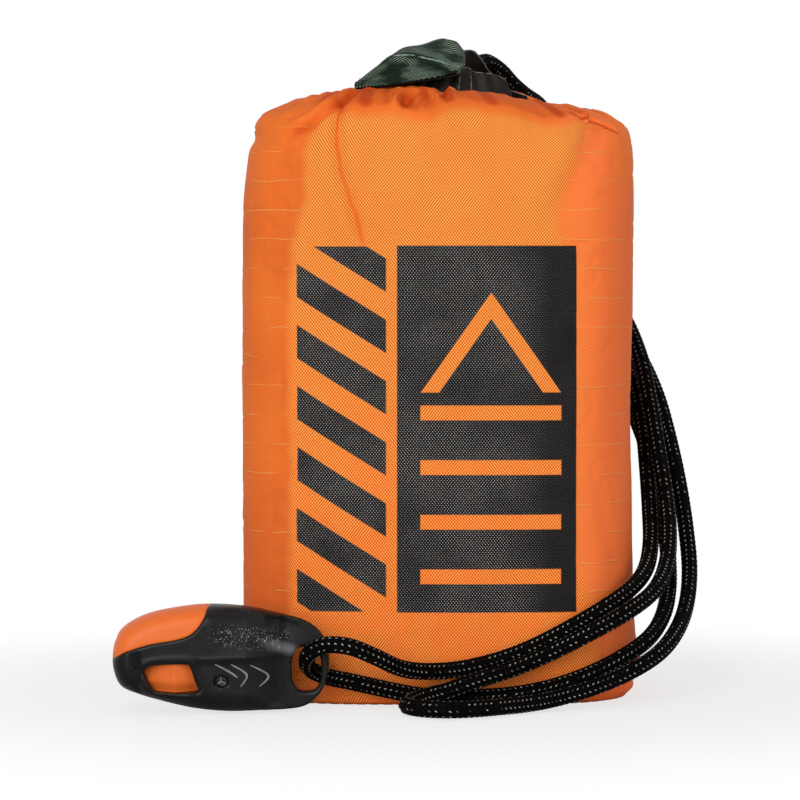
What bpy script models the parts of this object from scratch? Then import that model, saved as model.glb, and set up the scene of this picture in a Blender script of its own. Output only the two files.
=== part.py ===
"""Emergency tent, packed: a drawcord sack with a whistle on its cord, holding the rolled tent film.

Metres, +Z up. The origin is the middle of the sack's base, -Y is its front and +X its right.
"""

import math

import bmesh
import bpy
from mathutils import Vector

MM = 0.001

# Sack
SACK_WIDTH = 0.094
SACK_DEPTH = 0.074
SQUARENESS = 3.6  # exponent of the section: 2 is an ellipse, more is squarer
WALL_HEIGHT = 0.134
DRAW_START = WALL_HEIGHT - 0.022  # the left side leans in above this height
LEFT_DRAW = 0.0024
CLOTH = 0.0009  # stands for thinner cloth and its slack
GAP = 0.0003  # between pieces that touch
WALL_SLACK = 0.0005  # how far the wall is drawn in halfway up
WALL_FOOT_INSET = 0.0032
BASE_THICKNESS = 0.0009
BINDING_WIDTH = 0.0042
BINDING_THICKNESS = 0.0006
SEAM_WIDTH = 0.008
SEAM_THICKNESS = 0.0007
BASE_INSET = WALL_FOOT_INSET + CLOTH + GAP

# Cord
CORD_DIAMETER = 0.004
STRAND_PITCH = 1.1 * CORD_DIAMETER
KNOT_RADIUS = 0.0030 + CORD_DIAMETER
KNOT_LENGTH = 0.0134
KNOT_PLACE = (0.0248, WALL_HEIGHT - 0.0115)  # across and up
KNOT_OFF_SACK = 0.0076
KNOT_WRAPS = 4
STEPS_A_QUARTER = 72  # places round the sack are counted in steps of about a millimetre

# Mouth
RIDGE_RISE = 0.0083  # from the wall's top edge to where the gathered cloth turns over
RIDGE_HEIGHT = WALL_HEIGHT + RIDGE_RISE
MOUTH_FROM_FRONT = 0.029  # from the sack's front to the mouth's middle
MOUTH_CENTRE = (0.0023, MOUTH_FROM_FRONT - SACK_DEPTH / 2)
MOUTH_HALF_WIDTH = 0.024
MOUTH_HALF_DEPTH = 0.015
HEM_CLOTH = 0.0006
HEM_RADIUS = CORD_DIAMETER / 2 + 0.0004 + HEM_CLOTH  # with room for the cord to run
HEM_HEIGHT = RIDGE_HEIGHT - 0.0011
HEM_START = 104  # degrees: where the cord enters the hem, seen from above
HEM_END = 416  # and where it comes out, most of a turn later
PLEATS = 14
PLEAT_HEIGHT = 0.0005
LINING_THICKNESS = 0.0007
LINING_BELOW_HEM = 0.0022
LINING_ABOVE_HEM = 0.0066

# Flap
FLAP_THICKNESS = 0.0007
FLAP_AXIS_INSET = 0.0038
FLAP_AXIS_HEIGHT = WALL_HEIGHT + 0.0020

# Roll of tent film and its bands
ROLL_ROOM = 0.0039  # between the sack's cloth and the roll
ROLL_INSET = CLOTH + ROLL_ROOM
ROLL_FOOT = BASE_THICKNESS + GAP + BINDING_THICKNESS + 0.0004
ROLL_TOP = WALL_HEIGHT - 0.0066
ROLL_EDGE = 0.004
BAND_FROM_END = (0.032, 0.027)  # the lower one from the roll's foot, the upper from its top
BAND_WIDTH = 0.0048
BAND_THICKNESS = 0.0006
BAND_PINCH = 0.0010  # how far the bands draw the roll in

# Whistle
WHISTLE_THICKNESS = 0.0136
WHISTLE_TAIL = 0.0036
WHISTLE_OFF_SACK = 0.0100  # from the sack's front to the whistle's middle plane
WHISTLE_HEIGHT = 0.0114  # of the cord where it crosses the eye
WHISTLE_ACROSS = -0.0309
CORE_THICKNESS = 0.0040
EYE_HALF_WIDTH = CORD_DIAMETER / 2 + 0.0014
EYE_HALF_HEIGHT = 0.0051
EYE_BELOW_CORD = 0.0014  # the cord crosses the eye above its middle
SOUND_HOLE_RADIUS = 0.0011
SOUND_HOLE_PLACE = (-0.0192, -0.0038)  # from where the cord crosses the eye: across and up

ORANGE = (0.86, 0.26, 0.05)
BLACK = (0.012, 0.012, 0.013)


def material(name, colour, roughness, metallic=0.0):
    made = bpy.data.materials.new(name)
    made.use_nodes = True
    shader = made.node_tree.nodes["Principled BSDF"]
    shader.inputs["Base Color"].default_value = (*colour, 1.0)
    shader.inputs["Roughness"].default_value = roughness
    shader.inputs["Metallic"].default_value = metallic
    made.diffuse_color = (*colour, 1.0)
    return made


class Bench:
    """The two collections, and the way that objects get into them."""

    def __init__(self):
        for obj in list(bpy.data.objects):
            bpy.data.objects.remove(obj)
        self.parts = bpy.data.collections.new("emergency_tent")
        self.cutters = bpy.data.collections.new("cutters")
        for collection in (self.parts, self.cutters):
            bpy.context.scene.collection.children.link(collection)

    def part(self, name, data, finish):
        obj = bpy.data.objects.new(name, data)
        self.parts.objects.link(obj)
        data.materials.append(finish)
        if obj.type == "MESH":
            data.shade_smooth()
            data.set_sharp_from_angle(angle=math.radians(40))
        return obj

    def cutter(self, name, data):
        obj = bpy.data.objects.new(name, data)
        self.cutters.objects.link(obj)
        obj.hide_render = True
        obj.display_type = "WIRE"
        return obj

    def cut(self, obj, cutter):
        modifier = obj.modifiers.new(cutter.name, "BOOLEAN")
        modifier.operation = "DIFFERENCE"
        modifier.object = cutter

    def solidify(self, obj, thickness, offset=-1.0):
        modifier = obj.modifiers.new("cloth", "SOLIDIFY")
        modifier.thickness = thickness
        modifier.offset = offset


def girth_table(count=1440):
    """Points round the sack's section, clockwise from the back's middle, and their distances."""
    points = []
    for i in range(count + 1):
        angle = math.pi / 2 - 2 * math.pi * i / count
        c, s = math.cos(angle), math.sin(angle)
        x = SACK_WIDTH / 2 * math.copysign(abs(c) ** (2 / SQUARENESS), c)
        y = SACK_DEPTH / 2 * math.copysign(abs(s) ** (2 / SQUARENESS), s)
        points.append((x, y))
    lengths = [0.0]
    for before, after in zip(points, points[1:]):
        lengths.append(lengths[-1] + math.dist(before, after))
    return points, lengths


GIRTH_POINTS, GIRTH_LENGTHS = girth_table()


def on_girth(share):
    """The point of the sack's section at this share of the way round, and the way out of it there."""
    wanted = (share % 1.0) * GIRTH_LENGTHS[-1]
    low, high = 0, len(GIRTH_LENGTHS) - 1
    while high - low > 1:
        middle = (low + high) // 2
        if GIRTH_LENGTHS[middle] <= wanted:
            low = middle
        else:
            high = middle
    span = GIRTH_LENGTHS[high] - GIRTH_LENGTHS[low]
    part = (wanted - GIRTH_LENGTHS[low]) / span if span else 0.0
    x = GIRTH_POINTS[low][0] + part * (GIRTH_POINTS[high][0] - GIRTH_POINTS[low][0])
    y = GIRTH_POINTS[low][1] + part * (GIRTH_POINTS[high][1] - GIRTH_POINTS[low][1])
    a, b, n = SACK_WIDTH / 2, SACK_DEPTH / 2, SQUARENESS
    out = Vector(
        (
            math.copysign(abs(x / a) ** (n - 1) / a, x),
            math.copysign(abs(y / b) ** (n - 1) / b, y),
            0.0,
        )
    )
    return x, y, out.normalized()


def left_draw(height):
    """How far the sack's left side is drawn in: it leans inwards towards the top."""
    rise = (height - DRAW_START) / (WALL_HEIGHT - DRAW_START)
    return LEFT_DRAW * min(max(rise, 0.0), 1.5) ** 1.6


def section(inset, height, count):
    """A ring of the sack's section, drawn in by the inset, anticlockwise seen from above."""
    across = (SACK_WIDTH / 2 - inset) / (SACK_WIDTH / 2)
    deep = (SACK_DEPTH / 2 - inset) / (SACK_DEPTH / 2)
    ring = []
    for i in range(count):
        x, y, _ = on_girth(0.25 - i / count)
        x *= across
        if x < 0:
            x *= 1 - left_draw(height) / (SACK_WIDTH / 2)
        ring.append(Vector((x, y * deep, height)))
    return ring


def mouth_ring(outset, height, count):
    """A ring round the mouth, further out than the hem's middle line by the outset."""
    ring = []
    for i in range(count):
        angle = 2 * math.pi * i / count
        x = MOUTH_CENTRE[0] + (MOUTH_HALF_WIDTH + outset) * math.cos(angle)
        y = MOUTH_CENTRE[1] + (MOUTH_HALF_DEPTH + outset) * math.sin(angle)
        ring.append(Vector((x, y, height)))
    return ring


def loft(name, rings, closed):
    """A skin over rings of equal count, from the lowest up, with its two ends filled if closed."""
    build = bmesh.new()
    loops = [[build.verts.new(point) for point in ring] for ring in rings]
    for lower, upper in zip(loops, loops[1:]):
        for i in range(len(lower)):
            j = (i + 1) % len(lower)
            build.faces.new((lower[i], lower[j], upper[j], upper[i]))
    if closed:
        build.faces.new(list(reversed(loops[0])))
        build.faces.new(loops[-1])
    mesh = bpy.data.meshes.new(name)
    build.to_mesh(mesh)
    build.free()
    return mesh


def sheet(name, rows):
    """An open grid of points, row by row."""
    build = bmesh.new()
    lines = [[build.verts.new(point) for point in row] for row in rows]
    for before, after in zip(lines, lines[1:]):
        for i in range(len(before) - 1):
            build.faces.new((before[i], after[i], after[i + 1], before[i + 1]))
    mesh = bpy.data.meshes.new(name)
    build.to_mesh(mesh)
    build.free()
    return mesh


def plate(name, outlines, thickness):
    """A flat plate in the XY plane, middle at zero, from closed outlines: the second is a hole."""
    curve = bpy.data.curves.new(name, "CURVE")
    curve.dimensions = "2D"
    curve.fill_mode = "BOTH"
    curve.extrude = thickness / 2
    for outline in outlines:
        spline = curve.splines.new("POLY")
        spline.points.add(len(outline) - 1)
        for point, place in zip(spline.points, outline):
            point.co = (place[0], place[1], 0.0, 1.0)
        spline.use_cyclic_u = True
    return curve


def smooth_route(points, spacing):
    """Points spacing apart along a smooth curve through the route's own points."""
    dense = []
    last = len(points) - 1
    for i in range(last):
        p0, p1 = points[max(i - 1, 0)], points[i]
        p2, p3 = points[i + 1], points[min(i + 2, last)]
        # centripetal knots keep the curve from looping where points lie close together
        t01 = max((p1 - p0).length, 1e-6) ** 0.5
        t12 = max((p2 - p1).length, 1e-6) ** 0.5
        t23 = max((p3 - p2).length, 1e-6) ** 0.5
        m1 = (p2 - p1) + t12 * ((p1 - p0) / t01 - (p2 - p0) / (t01 + t12)) if i else p2 - p1
        m2 = (p2 - p1) + t12 * ((p3 - p2) / t23 - (p3 - p1) / (t12 + t23)) if i < last - 1 else p2 - p1
        for k in range(24):
            t = k / 24
            dense.append(
                (2 * t**3 - 3 * t**2 + 1) * p1
                + (t**3 - 2 * t**2 + t) * m1
                + (3 * t**2 - 2 * t**3) * p2
                + (t**3 - t**2) * m2
            )
    dense.append(points[-1].copy())
    lengths = [0.0]
    for before, after in zip(dense, dense[1:]):
        lengths.append(lengths[-1] + (after - before).length)
    steps = max(2, round(lengths[-1] / spacing))
    route, k = [], 0
    for step in range(steps + 1):
        wanted = lengths[-1] * step / steps
        while k < len(dense) - 2 and lengths[k + 1] < wanted:
            k += 1
        share = (wanted - lengths[k]) / (lengths[k + 1] - lengths[k])
        route.append(dense[k].lerp(dense[k + 1], min(max(share, 0.0), 1.0)))
    return route


def tube(name, route, radius, resolution, capped=True):
    curve = bpy.data.curves.new(name, "CURVE")
    curve.dimensions = "3D"
    curve.bevel_depth = radius
    curve.bevel_resolution = resolution
    curve.use_fill_caps = capped
    spline = curve.splines.new("POLY")
    spline.points.add(len(route) - 1)
    for point, place in zip(spline.points, route):
        point.co = (*place, 1.0)
    return curve


def make_wall(bench, finish):
    levels = (
        (WALL_FOOT_INSET, GAP),
        (0.44 * WALL_FOOT_INSET, 1.8 * MM),
        (0.12 * WALL_FOOT_INSET, 4.8 * MM),
        (0.0, 10.0 * MM),
        (WALL_SLACK, 0.46 * WALL_HEIGHT),
        (0.4 * WALL_SLACK, 0.79 * WALL_HEIGHT),
        (0.3 * MM, WALL_HEIGHT - 7 * MM),
        (1.0 * MM, WALL_HEIGHT),
    )
    rings = [section(inset, height, 48) for inset, height in levels]
    wall = bench.part("sack_wall", loft("sack_wall", rings, closed=False), finish)
    bench.solidify(wall, CLOTH)


def make_base(bench, finish, tape):
    rim = section(BASE_INSET, 0.0, 48)
    base = bench.part("sack_base", plate("sack_base", [rim], BASE_THICKNESS), finish)
    base.location.z = BASE_THICKNESS / 2
    outer = section(BASE_INSET, 0.0, 48)
    inner = section(BASE_INSET + BINDING_WIDTH, 0.0, 48)
    shape = plate("base_seam_binding", [outer, inner], BINDING_THICKNESS)
    binding = bench.part("base_seam_binding", shape, tape)
    binding.location.z = BASE_THICKNESS + GAP + BINDING_THICKNESS / 2


def make_back_seam(bench, finish):
    foot, top = 8 * MM, WALL_HEIGHT - 4 * MM
    build = bmesh.new()
    bmesh.ops.create_cube(build, size=1.0)
    bmesh.ops.scale(build, vec=(SEAM_WIDTH, SEAM_THICKNESS, top - foot), verts=build.verts)
    mesh = bpy.data.meshes.new("back_seam")
    build.to_mesh(mesh)
    build.free()
    seam = bench.part("back_seam", mesh, finish)
    seam.location.y = SACK_DEPTH / 2 - CLOTH - WALL_SLACK - GAP - SEAM_THICKNESS / 2
    seam.location.z = (foot + top) / 2


def make_gather(bench, finish):
    """The cloth above the wall, drawn over the roll's top to the mouth in pleats."""
    count = 4 * PLEATS
    rings = [
        section(1.2 * MM, WALL_HEIGHT + 0.4 * MM, count),
        section(2.6 * MM, WALL_HEIGHT + 0.4 * (RIDGE_HEIGHT - WALL_HEIGHT), count),
        section(5.5 * MM, RIDGE_HEIGHT - 1.7 * MM, count),
        section(9.5 * MM, RIDGE_HEIGHT, count),
    ]
    edge = mouth_ring(HEM_RADIUS + 0.7 * MM, HEM_HEIGHT - 0.9 * MM, count)
    ridge = rings[-1]
    for share in (0.5, 1.0):
        ring = []
        for i in range(count):
            ripple = PLEAT_HEIGHT * share * math.cos(2 * math.pi * PLEATS * i / count)
            ring.append(ridge[i].lerp(edge[i], share) + Vector((0.0, 0.0, ripple)))
        rings.append(ring)
    gather = bench.part("mouth_gather", loft("mouth_gather", rings, closed=False), finish)
    bench.solidify(gather, CLOTH)


def hem_point(degrees):
    angle = math.radians(degrees)
    return Vector(
        (
            MOUTH_CENTRE[0] + MOUTH_HALF_WIDTH * math.cos(angle),
            MOUTH_CENTRE[1] + MOUTH_HALF_DEPTH * math.sin(angle),
            HEM_HEIGHT,
        )
    )


def make_hem(bench, finish):
    tunnel = tube("mouth_hem", hem_route(), HEM_RADIUS, 3, capped=False)
    hem = bench.part("mouth_hem", tunnel, finish)
    bench.solidify(hem, HEM_CLOTH)


def make_lining(bench, finish):
    """The collar inside the hem. Its top is highest at the front right."""
    count = 40
    inside = -(HEM_RADIUS + GAP)
    heights = [
        LINING_ABOVE_HEM + 1.6 * MM * math.cos(2 * math.pi * i / count + math.radians(50))
        for i in range(count)
    ]
    rings = []
    for share, inset in ((0.0, 0.2), (0.35, 0.0), (0.7, 0.3), (1.0, 1.4)):
        ring = mouth_ring(inside - inset * MM, HEM_HEIGHT - LINING_BELOW_HEM, count)
        for point, above in zip(ring, heights):
            point.z += share * (above + LINING_BELOW_HEM)
        rings.append(ring)
    lining = bench.part("throat_lining", loft("throat_lining", rings, closed=False), finish)
    bench.solidify(lining, LINING_THICKNESS)


# The two leads, from the hem over the top's back edge to the knot, in millimetres: across, back
# from the mouth's back edge where the knot is LEAD_REACH behind it, and up from the ridge
LEAD_REACH = 0.0376
LEAD_OUT = (
    (2.0, -0.1, 0.4),
    (5.2, 0.5, 3.2),
    (8.2, 2.6, 6.0),
    (11.2, 6.2, 7.6),
    (14.6, 10.8, 6.9),
    (18.0, 15.3, 4.9),
    (21.2, 19.9, 3.3),
    (23.8, 24.6, 2.0),
    (25.8, 29.2, 0.4),
    (27.0, 34.0, -2.6),
)
LEAD_BACK = (
    (13.5, -1.7, -0.9),
    (10.3, 0.6, -0.1),
    (8.6, 3.9, 1.3),
    (8.4, 7.6, 2.5),
    (9.8, 11.0, 3.0),
    (12.7, 15.1, 3.2),
    (15.6, 19.2, 3.0),
    (18.8, 24.4, 1.6),
    (21.3, 29.6, -1.4),
    (22.4, 34.2, -4.9),
)

# Places of the free cord round the sack: steps from the back's middle, height and stand-off in
# millimetres. The first tail goes down on the inside, crosses the front and carries the whistle.
DOWN_FIRST = (
    (23.6, 105.4, 4.0),
    (29.0, 98.8, 2.6),
    (36.0, 91.0, 2.5),
    (44.0, 82.0, 2.5),
    (52.0, 72.5, 2.6),
    (60.0, 62.0, 2.8),
    (67.0, 52.0, 3.1),
    (75.0, 43.0, 3.2),
    (84.0, 35.5, 3.0),
    (93.0, 30.0, 2.6),
    (101.0, 26.0, 2.5),
    (109.0, 21.8, 2.5),
    (117.0, 17.4, 2.5),
    (125.0, 13.4, 2.5),
    (133.0, 10.6, 2.6),
    (141.0, 9.0, 3.4),
)
# From the front's middle through the whistle's eye and back, from where the cord crosses the eye:
# across, forward, up
THROUGH_EYE = (
    (25.9, -2.4, -2.3),
    (20.9, 1.8, -1.0),
    (15.6, 6.0, 1.9),
    (9.7, 7.9, 4.4),
    (4.7, 6.8, 4.6),
    (1.2, 4.0, 2.8),
    (0.0, 0.0, 0.0),
    (1.2, -3.8, -2.3),
    (4.6, -6.5, -4.0),
    (9.7, -7.5, -5.2),
    (16.9, -7.5, -6.8),
    (23.9, -7.5, -8.2),
)
UP_FIRST = (
    (144.0, 2.4, 2.6),
    (136.0, 2.5, 2.6),
    (128.0, 3.1, 2.7),
    (120.0, 4.6, 2.8),
    (112.0, 7.2, 3.0),
    (104.0, 10.8, 3.6),
    (96.0, 14.8, 4.8),
    (88.0, 19.4, 6.2),
    (80.0, 25.2, 7.4),
    (72.0, 32.5, 7.8),
    (65.5, 40.5, 7.2),
    (59.0, 50.0, 6.0),
    (52.5, 60.0, 4.6),
    (45.5, 70.0, 3.6),
    (38.0, 79.5, 3.4),
    (31.0, 88.0, 4.4),
    (25.0, 96.5, 6.5),
    (22.0, 104.0, 8.9),
)
DOWN_SECOND = (
    (31.4, 104.0, 3.3),
    (38.6, 97.6, 2.5),
    (46.0, 89.5, 2.7),
    (53.5, 80.0, 3.4),
    (60.5, 69.5, 4.3),
    (67.0, 58.5, 5.6),
    (74.0, 48.0, 6.9),
    (81.5, 39.5, 7.4),
    (89.5, 31.8, 7.2),
    (97.0, 26.4, 7.0),
    (104.0, 22.2, 6.8),
    (112.0, 17.6, 6.6),
    (120.0, 13.2, 6.4),
    (128.0, 9.6, 6.5),
    (136.0, 6.9, 6.6),
)
# The second tail turns back on the ground before the sack: across, in front of the sack, up
GROUND_TURN = (
    (1.5, 6.6, 4.6),
    (-3.2, 7.9, 3.5),
    (-6.7, 11.2, 2.7),
    (-8.0, 15.9, 2.3),
    (-6.7, 20.6, 2.3),
    (-3.2, 24.0, 2.3),
    (1.5, 25.2, 2.3),
    (7.4, 23.4, 2.3),
    (13.0, 19.4, 2.3),
    (18.6, 14.6, 2.3),
)
UP_SECOND = (
    (120.0, 2.8, 9.4),
    (112.0, 5.0, 7.8),
    (105.0, 8.0, 8.0),
    (98.0, 11.8, 8.8),
    (91.0, 16.4, 10.0),
    (84.0, 22.0, 11.6),
    (77.0, 29.5, 12.6),
    (71.0, 38.5, 12.2),
    (65.0, 49.0, 11.0),
    (58.5, 60.0, 9.4),
    (52.0, 70.5, 8.2),
    (45.5, 80.5, 7.4),
    (39.0, 90.0, 7.2),
    (33.0, 98.4, 7.5),
    (28.0, 105.2, 9.3),
)


def round_sack(places):
    points = []
    for steps, height, off in places:
        x, y, out = on_girth(steps / (4 * STEPS_A_QUARTER))
        points.append(Vector((x, y, height * MM)) + out * off * MM)
    return points


def on_ground(places):
    front = -SACK_DEPTH / 2
    return [Vector((across * MM, front - forward * MM, up * MM)) for across, forward, up in places]


def from_eye(places):
    eye = whistle_place()
    return [eye + Vector((across, -forward, up)) * MM for across, forward, up in places]


def knot_corner(across, back, up):
    """Where a strand meets the knot: left or right, near or far from the sack, above or below."""
    return Vector(
        (
            KNOT_PLACE[0] + across * STRAND_PITCH / 2,
            SACK_DEPTH / 2 + KNOT_OFF_SACK + back * STRAND_PITCH / 2,
            KNOT_PLACE[1] + up * (KNOT_LENGTH / 2 + GAP),
        )
    )


def lead_points(places):
    mouth_back = MOUTH_CENTRE[1] + MOUTH_HALF_DEPTH
    reach = SACK_DEPTH / 2 + KNOT_OFF_SACK - mouth_back
    points = []
    for across, back, up in places:
        y = mouth_back + back * MM * reach / LEAD_REACH
        points.append(Vector((across * MM, y, RIDGE_HEIGHT + up * MM)))
    return points


def hem_route():
    return [hem_point(HEM_START + step * (HEM_END - HEM_START) / 28) for step in range(29)]


def held_route(spacing):
    """The cord in the hem on the hem's own line, and its two leads to the knot."""
    hem = hem_route()
    straight = Vector((0.0, 0.0, CORD_DIAMETER))
    first, last = knot_corner(1, 0, 1), knot_corner(-1, 0, 1)
    lead_out = [first + straight] + list(reversed(lead_points(LEAD_OUT)))
    lead_back = lead_points(LEAD_BACK) + [last + straight]
    out = smooth_route(lead_out + hem[:2], spacing)
    back = smooth_route(hem[-2:] + lead_back, spacing)
    return [first] + out + hem[2:-2] + back + [last]


def tail_route(across, places, spacing):
    """A tail's smooth route from the knot and back to it, straight where it meets the knot."""
    straight = Vector((0.0, 0.0, CORD_DIAMETER))
    near, far = knot_corner(across, -1, -1), knot_corner(across, 1, -1)
    middle = smooth_route([near - straight] + places + [far - straight], spacing)
    return [near] + middle + [far]


def whistle_tail(spacing):
    places = round_sack(DOWN_FIRST) + from_eye(THROUGH_EYE) + round_sack(UP_FIRST)
    return tail_route(-1, places, spacing)


def spare_tail(spacing):
    places = round_sack(DOWN_SECOND) + on_ground(GROUND_TURN) + round_sack(UP_SECOND)
    return tail_route(1, places, spacing)


def make_cords(bench, finish):
    for name, route in (
        ("drawcord", held_route(1.6 * CORD_DIAMETER)),
        ("cord_tail_whistle", whistle_tail(2.2 * CORD_DIAMETER)),
        ("cord_tail_spare", spare_tail(2.4 * CORD_DIAMETER)),
    ):
        bench.part(name, tube(name, route, CORD_DIAMETER / 2, 2), finish)


def make_knot(bench, finish):
    """A knot of a few wraps: a turned barrel, ribbed where the wraps lie."""
    build = bmesh.new()
    half = KNOT_LENGTH / 2
    steps = 6 * KNOT_WRAPS
    radii = []
    for step in range(steps + 1):
        rib = abs(math.sin(math.pi * KNOT_WRAPS * step / steps))
        radii.append(KNOT_RADIUS - 1.0 * MM * (1 - rib))
    profile = [Vector((0.0, 0.0, half))]
    profile += [Vector((r, 0.0, half - KNOT_LENGTH * i / steps)) for i, r in enumerate(radii)]
    profile.append(Vector((0.0, 0.0, -half)))
    verts = [build.verts.new(point) for point in profile]
    for before, after in zip(verts, verts[1:]):
        build.edges.new((before, after))
    mesh = bpy.data.meshes.new("cord_knot")
    build.to_mesh(mesh)
    build.free()
    knot = bench.part("cord_knot", mesh, finish)
    screw = knot.modifiers.new("turn", "SCREW")
    screw.steps = screw.render_steps = 24
    screw.use_merge_vertices = True
    screw.merge_threshold = 1e-5
    across, up = KNOT_PLACE
    knot.location = (across, SACK_DEPTH / 2 + KNOT_OFF_SACK, up)


# The flap's profile from its sewn back edge to its loose front edge, in millimetres: forward of the
# mouth's middle, where the axis is FLAP_REACH behind it, up from the axis, and where its edges lie
FLAP_REACH = 0.0412
FLAP_PROFILE = (
    (-40.6, 0.0, -15.0, 15.0),
    (-33.2, 0.4, -15.0, 14.0),
    (-21.2, 0.6, -15.0, 11.0),
    (-9.2, 0.9, -14.0, 8.0),
    (-3.0, 2.2, -12.8, 6.4),
    (1.2, 5.8, -12.4, 5.4),
    (3.0, 10.6, -13.4, 5.0),
    (3.6, 15.4, -16.0, 5.0),
    (5.2, 18.8, -18.0, 5.2),
    (8.6, 20.4, -19.2, 5.4),
    (12.4, 18.6, -19.4, 5.4),
    (14.8, 14.6, -19.4, 5.2),
    (15.6, 10.8, -19.0, 5.0),
)


def flap_rows(offset):
    """Rows of points across the flap, pushed out of its profile by the offset."""
    reach = SACK_DEPTH / 2 - FLAP_AXIS_INSET - MOUTH_CENTRE[1]
    line = []
    for forward, up, _, _ in FLAP_PROFILE:
        stretch = reach / FLAP_REACH if forward < 0 else 1.0
        y = MOUTH_CENTRE[1] - forward * MM * stretch
        line.append(Vector((0.0, y, FLAP_AXIS_HEIGHT + up * MM)))
    rows = []
    for i, (_, _, left, right) in enumerate(FLAP_PROFILE):
        along = line[min(i + 1, len(line) - 1)] - line[max(i - 1, 0)]
        out = Vector((0.0, along.z, -along.y)).normalized()
        row = []
        for k in range(9):
            share = k / 8
            x = (left + share * (right - left)) * MM
            # the loose part stands highest right of its middle and drops towards its left edge
            rise = max(0.0, (i - 6) / 6) * (1.2 * math.sin(math.pi * share) + 1.6 * share - 1.4)
            row.append(line[i] + out * offset + Vector((x, 0.0, rise * MM)))
        rows.append(row)
    return rows


def make_flap(bench, green, black):
    half = GAP / 2
    outer = bench.part("dust_flap", sheet("dust_flap", flap_rows(half)), green)
    bench.solidify(outer, FLAP_THICKNESS, offset=1.0)
    under = bench.part("dust_flap_backing", sheet("dust_flap_backing", flap_rows(-half)), black)
    bench.solidify(under, FLAP_THICKNESS, offset=-1.0)


def make_roll(bench, film, elastic):
    levels = [
        (ROLL_INSET + ROLL_EDGE, ROLL_FOOT),
        (ROLL_INSET + 0.4 * ROLL_EDGE, ROLL_FOOT + 0.15 * ROLL_EDGE),
        (ROLL_INSET, ROLL_FOOT + ROLL_EDGE),
    ]
    reach = BAND_WIDTH / 2 + 2 * GAP
    heights = (ROLL_FOOT + BAND_FROM_END[0], ROLL_TOP - BAND_FROM_END[1])
    for height in heights:
        levels.append((ROLL_INSET, height - reach - 3 * MM))
        levels.append((ROLL_INSET + BAND_PINCH, height - reach))
        levels.append((ROLL_INSET + BAND_PINCH, height + reach))
        levels.append((ROLL_INSET, height + reach + 3 * MM))
    levels.append((ROLL_INSET, ROLL_TOP - ROLL_EDGE))
    levels.append((ROLL_INSET + 0.4 * ROLL_EDGE, ROLL_TOP - 0.15 * ROLL_EDGE))
    levels.append((ROLL_INSET + ROLL_EDGE, ROLL_TOP))
    rings = [section(inset, height, 40) for inset, height in levels]
    bench.part("tent_film_roll", loft("tent_film_roll", rings, closed=True), film)
    for name, height in zip(("roll_band_lower", "roll_band_upper"), heights):
        inset = ROLL_INSET + BAND_PINCH - GAP - BAND_THICKNESS
        rings = [section(inset, height + side * BAND_WIDTH / 2, 40) for side in (-1, 1)]
        band = bench.part(name, loft(name, rings, closed=False), elastic)
        bench.solidify(band, BAND_THICKNESS)


# The whistle's side outline from the eye's centre, in millimetres: across, up, anticlockwise
WHISTLE_OUTLINE = (
    (5.2, 0.2),
    (4.8, 4.0),
    (3.0, 7.2),
    (-0.6, 9.7),
    (-6.6, 11.4),
    (-13.9, 12.9),
    (-22.3, 13.4),
    (-29.4, 12.7),
    (-36.2, 11.2),
    (-41.2, 8.6),
    (-43.4, 5.6),
    (-44.2, 1.1),
    (-43.6, -2.8),
    (-41.8, -5.6),
    (-37.4, -7.4),
    (-31.7, -9.0),
    (-25.7, -10.3),
    (-18.9, -11.0),
    (-11.8, -10.9),
    (-1.6, -10.2),
    (2.6, -7.6),
    (4.6, -3.8),
)
# The mouthpiece panel, where the orange core comes out to the whistle's skin
MOUTHPIECE_OUTLINE = (
    (-22.6, 14.4),
    (-22.7, 12.0),
    (-24.4, 8.4),
    (-26.4, 6.4),
    (-30.2, 5.4),
    (-35.4, 4.6),
    (-40.6, 3.0),
    (-45.6, 1.0),
    (-46.0, 7.8),
    (-38.0, 13.4),
    (-30.0, 14.8),
)
# The mouthpiece itself, a little inside its room
LIP_OUTLINE = (
    (-22.9, 13.1),
    (-23.1, 11.8),
    (-24.8, 8.7),
    (-26.7, 6.8),
    (-30.3, 5.8),
    (-35.5, 5.0),
    (-40.7, 3.4),
    (-43.6, 2.2),
    (-43.1, 5.5),
    (-41.0, 8.4),
    (-36.1, 10.9),
    (-29.3, 12.4),
)
WINDWAY_OUTLINE = (
    (-48.0, 4.4),
    (-48.0, 6.8),
    (-33.0, 6.8),
    (-33.0, 4.4),
)
WINDOW_OUTLINE = (
    (-37.0, -1.4),
    (-35.4, -0.2),
    (-26.8, 0.1),
    (-24.2, -6.0),
    (-26.8, -6.6),
    (-33.6, -6.4),
    (-35.2, -5.4),
)


def whistle_place():
    return Vector((WHISTLE_ACROSS, -SACK_DEPTH / 2 - WHISTLE_OFF_SACK, WHISTLE_HEIGHT))


def upright(name, outline, steps):
    """A solid on an outline in the XZ plane. At each depth the outline has a share of its size."""
    middle_x = sum(p[0] for p in outline) / len(outline)
    middle_z = sum(p[1] for p in outline) / len(outline)
    rings = []
    for depth, share in steps:
        ring = []
        for x, z in outline:
            x = middle_x + (x - middle_x) * share
            z = middle_z + (z - middle_z) * share
            ring.append(Vector((x * MM, depth, z * MM)))
        rings.append(ring)
    mesh = loft(name, rings, closed=True)
    build = bmesh.new()
    build.from_mesh(mesh)
    bmesh.ops.recalc_face_normals(build, faces=build.faces)
    build.to_mesh(mesh)
    build.free()
    return mesh


def drawn(outline, wide, tall, across, right_end):
    """The outline drawn in about its own middle height, moved across, and ended before the eye's tab."""
    middle_z = sum(p[1] for p in outline) / len(outline)
    return [
        (min(x * wide + across, right_end), middle_z + (z - middle_z) * tall)
        for x, z in outline
    ]


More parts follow.
